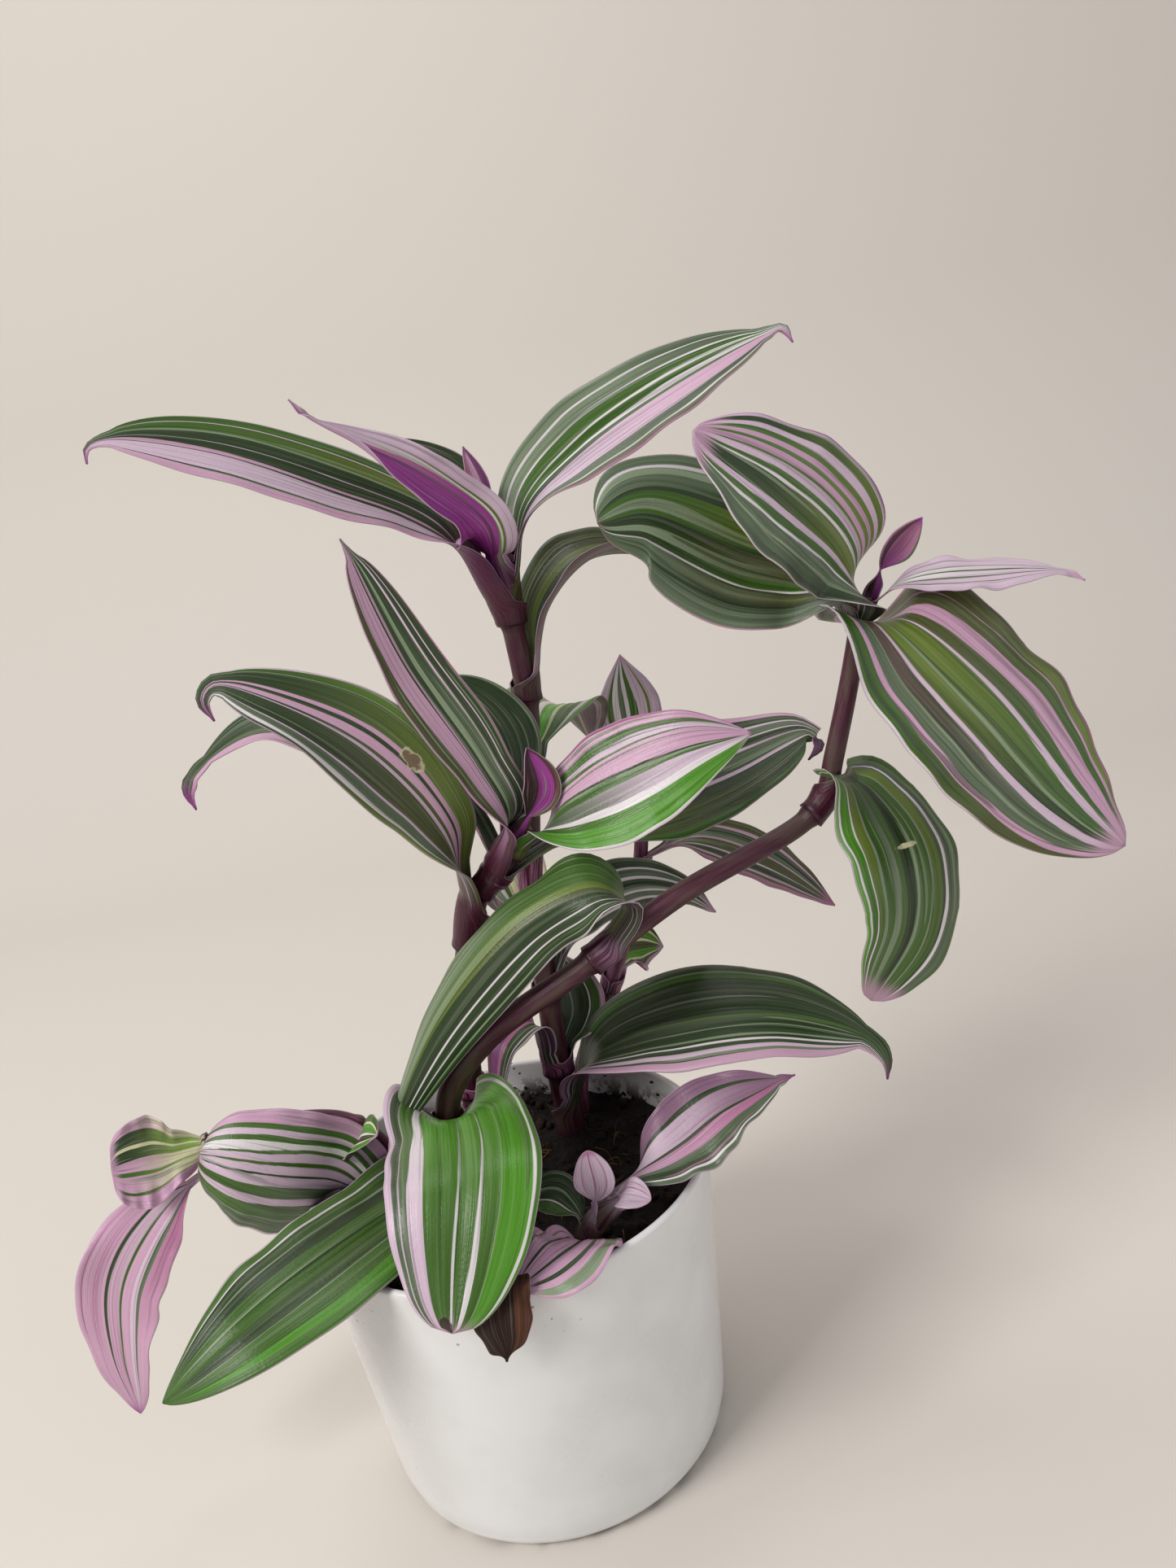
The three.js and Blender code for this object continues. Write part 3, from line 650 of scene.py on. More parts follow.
# %% Cup finish
def cup_finish():
    """White plastic with a slow waviness, rubbed patches and specks of soil near the rim.

    The inner wall is where a place lies nearer the middle than the outside wall at its height.
    """
    n = Nodes("white_plastic")
    place = n.spot()
    x, y, z = n.split(place)
    worn = n.noise(place, scale=60.0, detail=4.0)
    body = n.mix(n.step(worn, 0.35, 0.7), "plastic", "rubbed")
    patch = n.noise(place, scale=90.0, detail=2.0)
    speck = n.times(n.step(n.cells(place, 420.0), 0.16, 0.1), n.step(patch, 0.58, 0.66))
    speck = n.times(speck, n.step(z, 0.035, 0.062))
    radius = n.math("SQRT", n.math("ADD", n.times(x, x), n.times(y, y)))
    depth = n.less(n.line(z, (RIM_RADIUS - BASE_RADIUS) / POT_HEIGHT, BASE_RADIUS * MM), radius)
    inner = n.step(depth, 0.0010, 0.0014)
    smear = n.noise(place, scale=260.0, detail=5.0, roughness=0.7)
    belt = n.times(inner, n.step(z, 0.0625, 0.0555))
    dirt = n.times(belt, n.step(smear, 0.46, 0.56))
    color = n.mix(n.times(inner, 0.25), body, "inside")
    color = n.mix(n.math("MAXIMUM", speck, dirt), color, "dirt")
    n.bump(n.noise(place, scale=35.0, detail=1.0), 0.0004, 0.12)
    rough = n.math("MAXIMUM", n.step(worn, 0.4, 0.7, 0.16, 0.3), n.times(dirt, 0.8))
    return n.finish(color, rough, IOR=1.5)


cup.data.materials.append(cup_finish())

# %% [markdown]
# ## Soil
#
# Potting mix is a heap of crumbs, with pale bits of bark and brown root fibres. Its surface is
# a disc of rings with a cloudy relief, raised in clods and banked up against the wall. On it
# lie a few hundred loose crumbs and some fibres, all placed by seeded draws.

# %% Soil surface
SEED = 20
SOIL_TOP = 54
SOIL_GAP = 0.3
SOIL_WAVE = 1.2
SOIL_RINGS = 90
SOIL_SPOKES = 200
SOIL_CENTRE = 0.01
SOIL_WALL = wall_radius(SOIL_TOP) - WALL
BANK_FROM = 0.86
BANK_RISE = 1.6
LATTICE = 64


def cloud(x, y, pitch, seed):
    """Random numbers from -1 to 1 on a square lattice, with a smooth way between them."""
    table = np.random.default_rng([SEED, seed]).uniform(-1, 1, (LATTICE, LATTICE))
    across, up = x / pitch, y / pitch
    left, low = np.floor(across).astype(int), np.floor(up).astype(int)
    s, t = smoothstep(across - left, 0, 1), smoothstep(up - low, 0, 1)
    corner = [table[(left + i) % LATTICE, (low + j) % LATTICE] for i in (0, 1) for j in (0, 1)]
    return blend(blend(corner[0], corner[2], s), blend(corner[1], corner[3], s), t)


def soil_height(x, y):
    """The level of the soil: two slow waves, clods of three sizes and a bank at the wall."""
    out = np.hypot(x, y) / SOIL_WALL
    waves = np.sin(x / 5 + 1) * np.cos(y / 6) + 0.4 * np.sin((x + y) / 3)
    slow = SOIL_WAVE * (1 - np.minimum(1, out) ** 4) * waves
    clods = 0.9 * cloud(x, y, 4.5, 1) + 0.6 * np.abs(cloud(x, y, 2.1, 2)) + 0.35 * cloud(x, y, 0.9, 3)
    return SOIL_TOP + slow + clods + BANK_RISE * smoothstep(out, BANK_FROM, 1.0)


def soil_surface():
    """A flat underside and a wall inside the cup, closed by the rings of the top."""
    turn = angles(SOIL_SPOKES)
    low = np.array([[SOIL_CENTRE], [wall_radius(POT_FLOOR) - WALL - SOIL_GAP]])
    under_x, under_y = polar(low, turn)
    under = np.stack([under_x, under_y, np.full(under_x.shape, POT_FLOOR + SOIL_GAP)], axis=-1)
    share = np.linspace(1, SOIL_CENTRE, SOIL_RINGS)
    x, y = polar((share * (SOIL_WALL - SOIL_GAP))[:, None], turn)
    top = np.stack([x, y, soil_height(x, y)], axis=-1)
    return closed_skin(
        np.concatenate([under, top]), [0, 0, POT_FLOOR + SOIL_GAP], [0, 0, float(soil_height(0.0, 0.0))],
    )


soil = make_piece("soil_bed", *soil_surface())
stands_for(soil, "soil")
print("soil faces", len(soil.data.polygons))

# %% Loose crumbs and fibres
BALL = 12
CRUMBS = 620
CRUMB_SPREAD = 0.96
CRUMB_SIZES = (0.25, 1.9)
CRUMB_SQUASH = (0.55, 1.0)
CRUMB_KNOBS = (0.75, 1.15)
WALL_CRUMBS = 150
WALL_CRUMB_SIZES = (0.2, 0.75)
WALL_CRUMBS_FROM = SOIL_TOP + 1.2
WALL_CRUMBS_REACH = 7
FIBRES = 90
FIBRE_RINGS = 7
FIBRE_SIDES = 3
FIBRE_LENGTHS = (3, 10)
FIBRE_BENDS = (-0.22, 0.22)
FIBRE_LIFTS = (0.1, 1.2)
FIBRE_RADII = (0.08, 0.22)
FIBRE_REST = 0.25


def turns(count, rng):
    """Random rotations as matrices, from pairs of random directions made square."""
    first = unit(rng.normal(size=(count, 3)))
    second = rng.normal(size=(count, 3))
    second = unit(second - dot(second, first) * first)
    return np.stack([first, second, np.cross(first, second)], axis=-1)


def crumb_cloud():
    """Copies of a ball of twelve points, each squashed, knobbly and turned its own way.

    Most lie where a seeded draw puts them on the soil, and the last ones stick to the wall.
    """
    golden = (1 + 5 ** 0.5) / 2
    ring = np.array([[0, 1, golden], [0, -1, golden], [0, 1, -golden], [0, -1, -golden]])
    ball = unit(np.vstack([ring, ring[:, [2, 0, 1]], ring[:, [1, 2, 0]]]))
    sides = ball @ ball.T
    near = (sides > 0.4) & (sides < 0.9)
    triples = np.array([[i, j, k] for i in range(BALL) for j in range(i) for k in range(j)
                        if near[i, j] and near[j, k] and near[i, k]])
    a, b, c = (ball[corner] for corner in triples.T)
    inward = np.sum(np.cross(b - a, c - a) * a, axis=1) < 0
    triples[inward] = triples[inward][:, ::-1]
    rng = np.random.default_rng([SEED, 4])
    count = CRUMBS + WALL_CRUMBS
    angle = rng.uniform(0, 2 * math.pi, count)
    radius = SOIL_WALL * np.sqrt(rng.uniform(0, CRUMB_SPREAD, count))
    size = rng.gamma(2.2, 0.32, count).clip(*CRUMB_SIZES)
    height = soil_height(*polar(radius, angle)) + 0.3 * size
    size[CRUMBS:] = rng.uniform(*WALL_CRUMB_SIZES, WALL_CRUMBS)
    height[CRUMBS:] = WALL_CRUMBS_FROM + rng.gamma(1.4, 1.5, WALL_CRUMBS).clip(0, WALL_CRUMBS_REACH)
    radius[CRUMBS:] = wall_radius(height[CRUMBS:]) - WALL - 0.5 * size[CRUMBS:]
    squash = rng.uniform(*CRUMB_SQUASH, (count, 1, 3)) * size[:, None, None]
    knobs = rng.uniform(*CRUMB_KNOBS, (count, BALL, 1))
    balls = (ball[None] * knobs * squash) @ turns(count, rng)
    places = np.stack([*polar(radius, angle), height], axis=-1)
    points = (balls + places[:, None]).reshape(-1, 3)
    faces = (triples[None] + BALL * np.arange(count)[:, None, None]).reshape(-1, 3)
    return points, [faces]


def fibre_cloud():
    """Thin three-sided tubes, each along its own arc that lies on the soil."""
    rng = np.random.default_rng([SEED, 5])
    angle = rng.uniform(0, 2 * math.pi, (FIBRES, 1))
    radius = (SOIL_WALL - 4) * np.sqrt(rng.uniform(0, 1, (FIBRES, 1)))
    heading = rng.uniform(0, 2 * math.pi, (FIBRES, 1))
    length = rng.uniform(*FIBRE_LENGTHS, (FIBRES, 1))
    bend = rng.uniform(*FIBRE_BENDS, (FIBRES, 1))
    way = np.linspace(-0.5, 0.5, FIBRE_RINGS)[None] * length
    aim = heading + bend * way
    x, y = np.add(polar(radius, angle), polar(way, aim))
    inside = np.minimum(1, (SOIL_WALL - 1) / np.hypot(x, y))
    x, y = x * inside, y * inside
    lift = rng.uniform(*FIBRE_LIFTS, (FIBRES, 1)) * (1 - (2 * way / length) ** 2)
    centre = np.stack([x, y, soil_height(x, y) + FIBRE_REST + lift], axis=-1)
    thick = rng.uniform(*FIBRE_RADII, (FIBRES, 1, 1, 1))
    sideways = np.stack([-np.sin(aim), np.cos(aim), np.zeros_like(aim)], axis=-1)[:, :, None]
    right, up = polar(1, angles(FIBRE_SIDES)[:, None])
    rings = centre[:, :, None] + thick * (right * sideways + up * np.array([0, 0, 1.0]))
    each = FIBRE_RINGS * FIBRE_SIDES
    caps = np.array([[2, 1, 0], [each - 3, each - 2, each - 1]])
    start = each * np.arange(FIBRES)[:, None, None]
    quads = grid_faces(FIBRE_RINGS, FIBRE_SIDES, closed=True)
    return rings.reshape(-1, 3), [(quads + start).reshape(-1, 4), (caps + start).reshape(-1, 3)]


crumbs = make_piece("soil_crumbs", *crumb_cloud())
fibres = make_piece("soil_fibres", *fibre_cloud())
for loose in (crumbs, fibres):
    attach(loose, "root")
print("crumbs", CRUMBS + WALL_CRUMBS, "fibres", FIBRES)


# %% Soil finish
def soil_finish(name, dark, light, share):
    """Damp soil: a dark and a lighter brown in patches, with tiny pale grains."""
    n = Nodes(name)
    place = n.spot()
    patches = n.noise(place, scale=220.0, detail=5.0, roughness=0.65)
    color = n.mix(n.step(patches, 0.62 - share, 0.8 - share), dark, light)
    color = n.mix(n.step(n.cells(place, 900.0), 0.14, 0.08, 0.0, 0.4), color, "grain")
    n.bump(n.noise(place, scale=1400.0, detail=3.0), 0.0004, 0.8)
    return n.finish(color, n.step(patches, 0.3, 0.7, 0.7, 0.95), Specular_IOR_Level=0.3)


soil.data.materials.append(soil_finish("damp_soil", "soil_dark", "soil_light", 0.05))
crumbs.data.materials.append(soil_finish("soil_crumb", "crumb_dark", "crumb_light", 0.15))
fibres.data.materials.append(soil_finish("root_fibre", "root_dark", "root_light", 0.2))

# %% [markdown]
# ## Leaves
#
# Each leaf is one surface with two parameters: the share of the way from foot to tip, and the
# place from the left edge to the right edge. A section across the leaf is an arc. Below the
# foot the arcs close round the stem to a sheath, which ends at the ring below. At the foot the
# arc clasps the stem, and further out it opens into the shallow cup of the blade. The width
# swells and runs out to a point or to a narrow hooked tail. On top of that lie a creased
# midrib, low ribs between the veins and waved edges, and some blades have lobes beside the
# foot. Each blade lies in or near its solid, with a midrib set closer.
#
# The stripes are written from the left edge to the right edge, as seen on the upper face with
# the tip up: each tint and the share of the width that it takes, in hundredths.

# %% Leaf table
PLAIN = dict(
    slot="leaf", neck=0.08, peak=0.85, base=1, tip=0.85, wrap=1.25, mouth=1, sheath=None, tail=[],
    tail_half=1, lobe=0, lift=0, fold=0.05, wave=0.5, foot="rose", foot_to=0.06, under="violet",
    veil=0.55, sliver="sage", tip_tint="pink", tip_from=0.9, spots=[],
)
LEAVES = {
    # The tall stem
    "a1": dict(
        on="a", width=16, cup=(0.5, 0.15), neck=0.06, peak=0.95, tip=0.5, wrap=1.6, mouth=1.9,
        tail_half=1.4, fold=0.06,
        rib=[(21, 24, 176), (11, 19, 191.5), (-8, 12, 204), (-27, 6, 213.6), (-43, 2, 217.8)],
        tail=[(-46, 1, 216.8), (-46.3, 0, 214.3)], face=[(0.1, -0.8, 0.6), (0, -0.9, 0.45)],
        foot="wine", foot_to=0.24, tip_tint="magenta", tip_from=0.96,
        stripes="pink 10>12>12, deep 2>3>1, lilac 4>22>34, deep 8>3>2, pink 3>4>6, deep 14>12>6,"
                "lilac 3>1>1, deep 14>12>10, sage 2>2>3, moss>green 16>12>12, lilac 1, green 8>8>10,"
                "lilac 1"),
    "a2": dict(
        on="a", width=22, cup=(0.4, 0.3), tip=0.52, tail_half=2.2, fold=0.06,
        rib=[(22, 24, 181), (28, 26, 193), (40, 30, 202), (61, 34, 211), (83.5, 38, 218)],
        tail=[(86.6, 37, 218.6), (88, 35, 215.4)], face=[(-0.3, -0.8, 0.5), (-0.2, -0.7, 0.7)],
        foot="olive", tip_tint="magenta", tip_from=0.95,
        stripes="sage>grey 12>9>6, white 3>2>1, sage>grey 8>9>8, white 2>2>4, green 10>9>5, white 2>2>4,"
                "green 8>6>3, white 1>3>6, deep>green 8>4>2, lilac>pink 6>20>24, grey>deep 8>9>6,"
                "white 2>2>3, olive 6>6>8, rose 1"),
    "a3": dict(
        on="a", width=13, cup=(1, 0.8), neck=0, base=0.6, wrap=0.8,
        rib=[(22, 23, 185), (19, 16, 191), (9.5, 10, 201.5), (0.5, 6, 209.8), (-7, 3, 215.6)],
        tail=[(-9.5, 2, 219)], face=[(0.3, -0.85, 0.4), (0.2, -0.2, 1)],
        foot="violet", under="lilac", veil=0.7, sliver="lilac", tip_tint="wine", tip_from=0.95,
        stripes="magenta 50>56>24, violet 4>5>2, magenta>rose 10>8>4, spring>lilac 5>4>30,"
                "white>lilac 5>3>10, moss>lilac 6>3>10, lilac 20"),
    "a4": dict(
        on="a", width=22, cup=(0.9, 0.5), fold=0.12,
        rib=[(22, 26, 160), (28, 28, 172), (38, 32, 180), (50, 38, 179), (60, 42, 172)],
        face=[(-0.4, -0.3, 0.9), (0, -0.2, 1)],
        foot="taupe", under="taupe", veil=0.75,
        stripes="grey 6, olive 22, moss 14>10>8, deep 24, moss 8, green 10, lilac 2, pink 12, taupe 2"),
    "a5": dict(
        on="a", width=11, cup=(0.7, 0.5), wrap=0.7, sheath=3,
        rib=[(22, 23, 186), (16.7, 26, 197.5), (9.4, 26, 205), (1, 25, 211)], face=[(0, -0.7, 0.7)],
        foot="wine", under="lilac", sliver="pink",
        stripes="lilac 45, rose 10, lilac 15, grey 8, deep 20"),
    "a6": dict(
        on="a", width=24, cup=(0.4, 0.3),
        rib=[(21, 26, 141), (24, 36, 149), (28, 47, 147), (33, 57, 136)],
        face=[(0, -0.5, 0.85), (0.3, -0.2, 0.9)],
        foot="moss",
        stripes="lime 20, cream 5, green 15, white 6, lime 16, cream 4, green 20, white 5, lime 9"),
    "a7": dict(
        on="a", width=18, cup=(0.4, -0.3),
        rib=[(14, 26, 104), (10, 35, 114), (6, 43, 112), (4, 49, 100)],
        face=[(0, -0.4, 0.9), (-0.3, -0.2, 0.9)],
        stripes="sage 15, white 8, green 8, cream 20, sage 12, white 10, green 10, cream 17"),
    "a8": dict(
        on="a", width=19, cup=(0.3, 0.2),
        rib=[(14, 26, 92), (22, 28, 101), (34, 30, 107), (46, 32, 104), (54, 34, 96)],
        face=[(-0.2, -0.4, 0.9), (0.3, -0.4, 0.9)],
        foot="taupe",
        stripes="grey 8, deep 10, white 1>3>4, grey 12, white 4>6>6, deep 14, sage 8, white 4, grey 14,"
                "white 5, deep 18"),
    "a9": dict(
        on="a", slot="young_leaf", width=5, cup=(0.9, 0.7), wrap=0.5, sheath=2, wave=0.1,
        rib=[(22, 23, 189), (19.9, 22, 198), (18.2, 22, 206.5)], face=[(0, -0.9, 0.3)],
        foot="wine", tip_tint="violet",
        stripes="rose 34, pink 30, violet 36"),
    "e1": dict(
        on="a", width=27, cup=(0.5, -0.4), neck=0.04, peak=1, base=0.8, tip=0.5, tail_half=3.2, lobe=3,
        fold=-0.06,
        rib=[(13, 25, 62), (22, 20, 74), (40, 14, 81.5), (62, 8, 82), (79, 5, 73.5)],
        tail=[(81.6, 2.5, 69), (81, 1.5, 65.2)], face=[(0, -0.45, 0.9), (0.5, -0.6, 0.6)],
        foot="taupe", tip_tint="violet", tip_from=0.95,
        stripes="grey>deep 9>8>6, sage 0>1>2, green 6, deep 44>38>30, green 3>4>6, deep 10>8>8,"
                "sage 0>1>2, deep 6>7>8, sage 1>2>3, deep 3, white 1>2>3, deep 5>5>4, lilac 4>4>3,"
                "deep 2>3>2, pink 9>7>8"),
    "h2": dict(
        on="a", width=11, cup=(0.6, 0.4),
        rib=[(13, 25, 72), (9, 20, 83), (3, 16, 81), (-2, 12, 67)],
        face=[(-0.3, -0.3, 0.9), (-0.8, -0.5, 0.3)],
        stripes="white 6, deep 14, white 6, deep 14, sage 6, deep 12, rose 12, violet 20, wine 15"),
    "h3": dict(
        on="a", width=13, cup=(0.6, 0.4),
        rib=[(14, 25, 73), (19, 32, 80), (17, 36, 92)], face=[(0, -0.9, 0.3)],
        stripes="pink 10, deep 26, sage 3, deep 30, white 2, green 20, pink 8"),
    # The long leaning stem
    # b1: the deep bands on one half are partly painted shade, and the sage on the other half is partly a
    # painted sheen, over its real stripes.
    "b1": dict(
        on="b", width=21, cup=(-0.45, -0.4), peak=0.75, fold=-0.42,
        rib=[(31, -4, 109), (33.5, -7, 117), (28, -8.5, 122.5), (13, -8, 118.5), (-6.2, -6, 101.5),
             (-20, -5, 80), (-23, -5, 72)],
        face=[(-0.3, -0.8, 0.6), (-0.7, -0.7, 0.2)],
        foot="mauve", sliver="green",
        stripes="white 1, deep 6, sage 1>2>2, deep 8, white 1>2>1, deep 9, white 1>2>2, deep 18,"
                "olive>moss 8>5>2, moss>sage 12>10>6, green>sage 22>24>26, green>grey 12, sage 1>2>3,"
                "green 6"),
    "b2": dict(
        on="b", width=27, cup=(-0.4, 0.25), neck=0, base=0.42, tip=0.5, wrap=0.7, lobe=3,
        rib=[(79, 4, 133), (83.7, -1, 128), (87.4, -7, 118), (86, -11, 104), (76.6, -12, 90.8)],
        face=[(0.5, -0.8, 0.4), (0.4, -0.9, 0)],
        foot="wine", spots=[(0.46, 0.36, 0.12, 0.01, "cream")],
        stripes="green 5>4>4, grey 6>9>10, white 1>3>2, grey>deep 3, moss>green 9, sage 1>2>2,"
                "green 14>11>10, sage 1>2>3, deep 9>9>8, green 6, grey>sage 5>6>8, green 10>8>6,"
                "sage 2>3>5, moss>green 10>8>5, white 2>1>2, lime>green 8>6>4, white 1>2>1, lime 5>4>3"),
    "b3": dict(
        on="b", width=35, cup=(0.2, -0.3), neck=0.02, peak=0.9, base=0.42, tip=0.62, wrap=0.9, mouth=0.5,
        sheath=2, lobe=5, fold=-0.08, wave=1,
        rib=[(88, 3, 161), (91, -5.5, 161), (102.5, -13, 146.5), (114.3, -17, 128.3), (125, -18, 115.3)],
        face=[(0.2, -0.85, 0.5), (0.3, -0.9, 0.3)],
        foot="moss", sliver="deep",
        stripes="rose 3>1>6, olive>moss 14>8>6, pink 2>1>8, olive>green 10>9>7, pink 7>13>16,"
                "olive>green 8>9>5, lilac 2>4>10, moss>green 12>15>10, sage 1>2>2, moss>deep 10>8>6,"
                "lilac 3>4>10, taupe>grey 10>9>4, sage 1, grey 6>7>3, pink 4>5>6, green>olive 12>9>3,"
                "white 1"),
    "b4": dict(
        on="b", width=28, cup=(0.25, -0.2), neck=0, peak=0.95, base=0.7, tip=0.6, wrap=0.5, mouth=0.3,
        sheath=0.8, wave=0.7,
        rib=[(87, 3, 161), (84.5, -3, 174.5), (73, -9, 189.5), (58.8, -11, 201.2)],
        face=[(0.3, -0.9, 0.4), (0.3, -0.85, 0.45)],
        foot="spring",
        stripes="white 1, deep>grey 16>15>10, sage 2>2>1, grey 9>8>5, white 2>2>3, green 7>7>5,"
                "lilac 3>6>9, moss>deep 16>20>24, white 2, green 4, lilac 5>7>9, moss>green 2,"
                "pink 5>6>8, moss>green 4, pink 4>5>6, moss>green 5, lilac 5>6>7, moss>deep 6>6>7,"
                "lilac 3, magenta 1"),
    "b5": dict(
        on="b", width=32, cup=(0.1, -0.5), neck=0, peak=1, base=0.8, tip=0.5, wrap=0.6, mouth=0.2,
        sheath=0.8, lobe=2,
        rib=[(87, 3, 162), (80.5, 3, 171), (66, 2, 179.5), (50, 0, 189), (40.5, -3, 188.5)],
        face=[(-0.1, -0.85, 0.5), (-0.4, -0.9, 0.3)],
        foot="moss", sliver="deep", tip_tint="taupe", tip_from=0.985,
        stripes="rose 1, grey 15>13>10, deep 2>2>1, olive>grey 10, white 2>1>2, green>deep 4>5>5,"
                "olive>sage 9>7>6, olive>deep 6>8>9, deep>green 4, moss>sage 4>6>8, moss>green 12>9>5,"
                "deep 6>5>4, green>grey 9>10>10, sage 2>4>5, pink>white 2>3>3, green>grey 10>9>10,"
                "lilac 1"),
    "b6": dict(
        on="b", width=12, cup=(0.2, -0.3), wrap=0.4, mouth=0.5, sheath=1, wave=0.9,
        rib=[(88, 3, 165), (94.5, -1, 167.6), (109.5, -4, 167.2), (122, -8, 165.4)],
        tail=[(125, -9, 163.4)], face=[(0, -0.5, 1), (0, -0.45, 1)],
        foot="spring", under="lilac", veil=0.6, sliver="lilac",
        stripes="lilac 16, sage>lilac 3>2>1, lilac 14, sage 2>3>2, white>lilac 10, green 3>3>2,"
                "white>lilac 16, grey 5>4>1, lilac 14, green 6>3>1, lilac 12, lilac 9"),
    "b7": dict(
        on="b", slot="young_leaf", width=7.5, cup=(1, 0.8), neck=0.3, sheath=2, wave=0.1,
        rib=[(88, 3, 166), (93.5, 5, 172), (101, 4, 178.5)], face=[(0.5, -0.9, 0.2)],
        foot="magenta", tip_tint="magenta",
        stripes="rose 12, umber>wine 24>20>6, plum 4, magenta>rose 50, green 4"),
    # The short left stem
    "h1": dict(
        on="c", width=12, cup=(0.3, 0.2),
        rib=[(-8, 25, 72), (-12, 27, 80), (-15, 26, 82), (-17, 24, 78)],
        face=[(0.3, -0.5, 0.8), (-0.3, -0.5, 0.8)],
        stripes="pink 18, deep 30, green 12, deep 20, violet 20"),
    "c1": dict(
        on="c", width=14, cup=(0.6, 0.4), neck=0.1, base=0.9, tip=0.46, wrap=1.3, mouth=1.5, fold=0.1,
        rib=[(10.5, 10, 123.5), (13.6, 5, 135.5), (10.6, 3.5, 147.5), (1.4, 3, 169), (-5.2, 4, 190.5)],
        tail=[(-6.4, 4, 193.8)], face=[(0.2, -0.9, 0.3), (0.3, -0.9, 0.3)],
        foot="wine", foot_to=0.16, tip_tint="grey", tip_from=0.98,
        stripes="rose 2, olive 18>16>4, pink 16>20>32, deep 1>2>6, pink 2>3>6, deep 10>8>6, sage 3>5>6,"
                "grey>deep 14>12>8, lilac 3>3>5, deep 12>10>8, lilac 2, deep 12>10>8, rose 2"),
    "c2": dict(
        on="c", width=20, cup=(0.5, 0.1), peak=0.95, tip=0.55, wrap=1.5, mouth=1.6, tail_half=2.4,
        fold=0.06,
        rib=[(4, 12, 118), (1, 3, 136), (-9, -3, 156), (-23, -6, 168.2), (-32.9, -6, 172.6)],
        tail=[(-35.1, -7, 170.4), (-34, -7, 166.4)], face=[(0, -0.75, 0.65), (-0.3, -0.8, 0.5)],
        foot="wine", foot_to=0.1, tip_tint="magenta", tip_from=0.95,
        spots=[(0.69, 0.42, 0.095, 0.034, "cream"), (0.69, 0.42, 0.08, 0.029, "brown")],
        stripes="moss>deep 7>5>4, white 1>4>6, grey 12>11>8, lilac 3>2>2, olive>deep 18>24>28,"
                "lilac 5>3>2, olive>deep 5>3>2, pink 10>8>6, deep 3>4>6, pink 7>5>4, moss>deep 14>20>26,"
                "sage 1, moss>green 10>8>8, lilac 2"),
    "c3": dict(
        on="c", width=20, cup=(0.3, 0.1), neck=0.14, sheath=9, tail_half=2.6,
        rib=[(11, 10, 125), (1, 20, 142), (-18, 27, 154), (-37, 27, 158), (-49.5, 22, 152)],
        tail=[(-51.5, 21, 148.6), (-50.6, 20, 144.8)], face=[(0, -0.6, 0.8), (-0.6, -0.6, 0.6)],
        foot="wine", tip_tint="magenta", tip_from=0.92,
        stripes="rose>pink 12, pink 16, deep 4, olive>deep 14, green 6, deep 22, grey 10, deep 14, sage 3"),
    "c4": dict(
        on="c", width=22, cup=(0.5, 0.3), neck=0.14, wrap=0.7,
        rib=[(14, 10, 129), (13, 16, 143), (9, 20, 155), (3, 22, 163)],
        face=[(0.4, -0.9, 0.3), (0.3, -0.8, 0.5)],
        stripes="pink 8, olive 8, pink 10, olive 8, lilac 6, moss>green 10, deep 40, sage 4"),
    "c5": dict(
        on="c", width=24, cup=(0.4, -0.3), wrap=0.9,
        rib=[(15, 9, 129), (24, 2, 134), (36, -3, 140), (50, -6, 145), (62, -6, 146)],
        face=[(-0.3, -0.8, 0.6), (-0.1, -0.9, 0.4)],
        foot="moss", sliver="green", tip_from=0.94,
        stripes="rose 2, pink 8, green 6>7>2, lilac 3>6>8, green 4>2>1, pink 8>16>24, deep 2>2>1,"
                "sage 2>3>1, green 8>4>2, grey>lilac 14>14>10, white 4>7>9, green>lime 8>9>8,"
                "lime 30>18>14, white 2>2>1"),
    "c6": dict(
        on="c", width=25, cup=(0.4, 0), neck=0.12, peak=1, tip=0.4, sheath=5.5, tail_half=2.5,
        rib=[(11, 10, 124), (21, 14, 126), (40, 16, 130), (60, 18, 134), (77.5, 18, 137.9)],
        tail=[(78.8, 16, 135.5), (76, 15, 133)], face=[(-0.2, -0.7, 0.7), (0, -0.7, 0.7)],
        foot="mauve", tip_tint="umber", tip_from=0.95,
        stripes="pink 7, deep 10, lilac 2>3>2, grey 10, lilac 1>2>3, deep 9, lilac 2>3>2, grey 10,"
                "deep 8, lilac 1>3>4, deep 14>12>10, moss>deep 28>24>20, lime>green 6"),
    "c7": dict(
        on="c", slot="young_leaf", width=9, cup=(1, 0.8), neck=0.2, wrap=0.5, wave=0.1,
        rib=[(16, 9, 132), (21, 4, 140), (20, 3, 149)], face=[(0.3, -0.9, 0.2)],
        foot="violet", tip_tint="plum",
        stripes="umber>plum 46, magenta 36, wine 12, brown 6"),
    # The thin stem at the back
    "d1": dict(
        on="d", width=16, cup=(0.4, 0.4), tip=1,
        rib=[(44, 48, 129), (43, 52, 142), (43, 51, 156)], face=[(0, -1, 0.2), (0, -0.9, 0.3)],
        under="lilac", veil=0.3,
        stripes="lilac 16, green 8>6>2, white 10, grey 10>8>4, white 6>6>8, green 12>10>6,"
                "lilac 12>14>20, moss 4, lilac 16"),
    "d2": dict(
        on="d", width=17, cup=(0.4, 0.2),
        rib=[(40, 46, 109), (52, 43, 111), (67, 40, 104), (82, 37, 91)],
        face=[(0, -0.4, 0.9), (0.4, -0.5, 0.7)],
        tip_tint="rose",
        stripes="olive 12, pink 4, deep 12, grey 8, pink 4, olive 16, lilac 3, deep 14, pink 5>5>8,"
                "olive 8, rose 8>8>14"),
    "d4": dict(
        on="d", width=16, cup=(0.4, 0.3),
        rib=[(29, 42, 82), (31, 48, 84.5), (36, 51, 84), (41.5, 51, 82.7)],
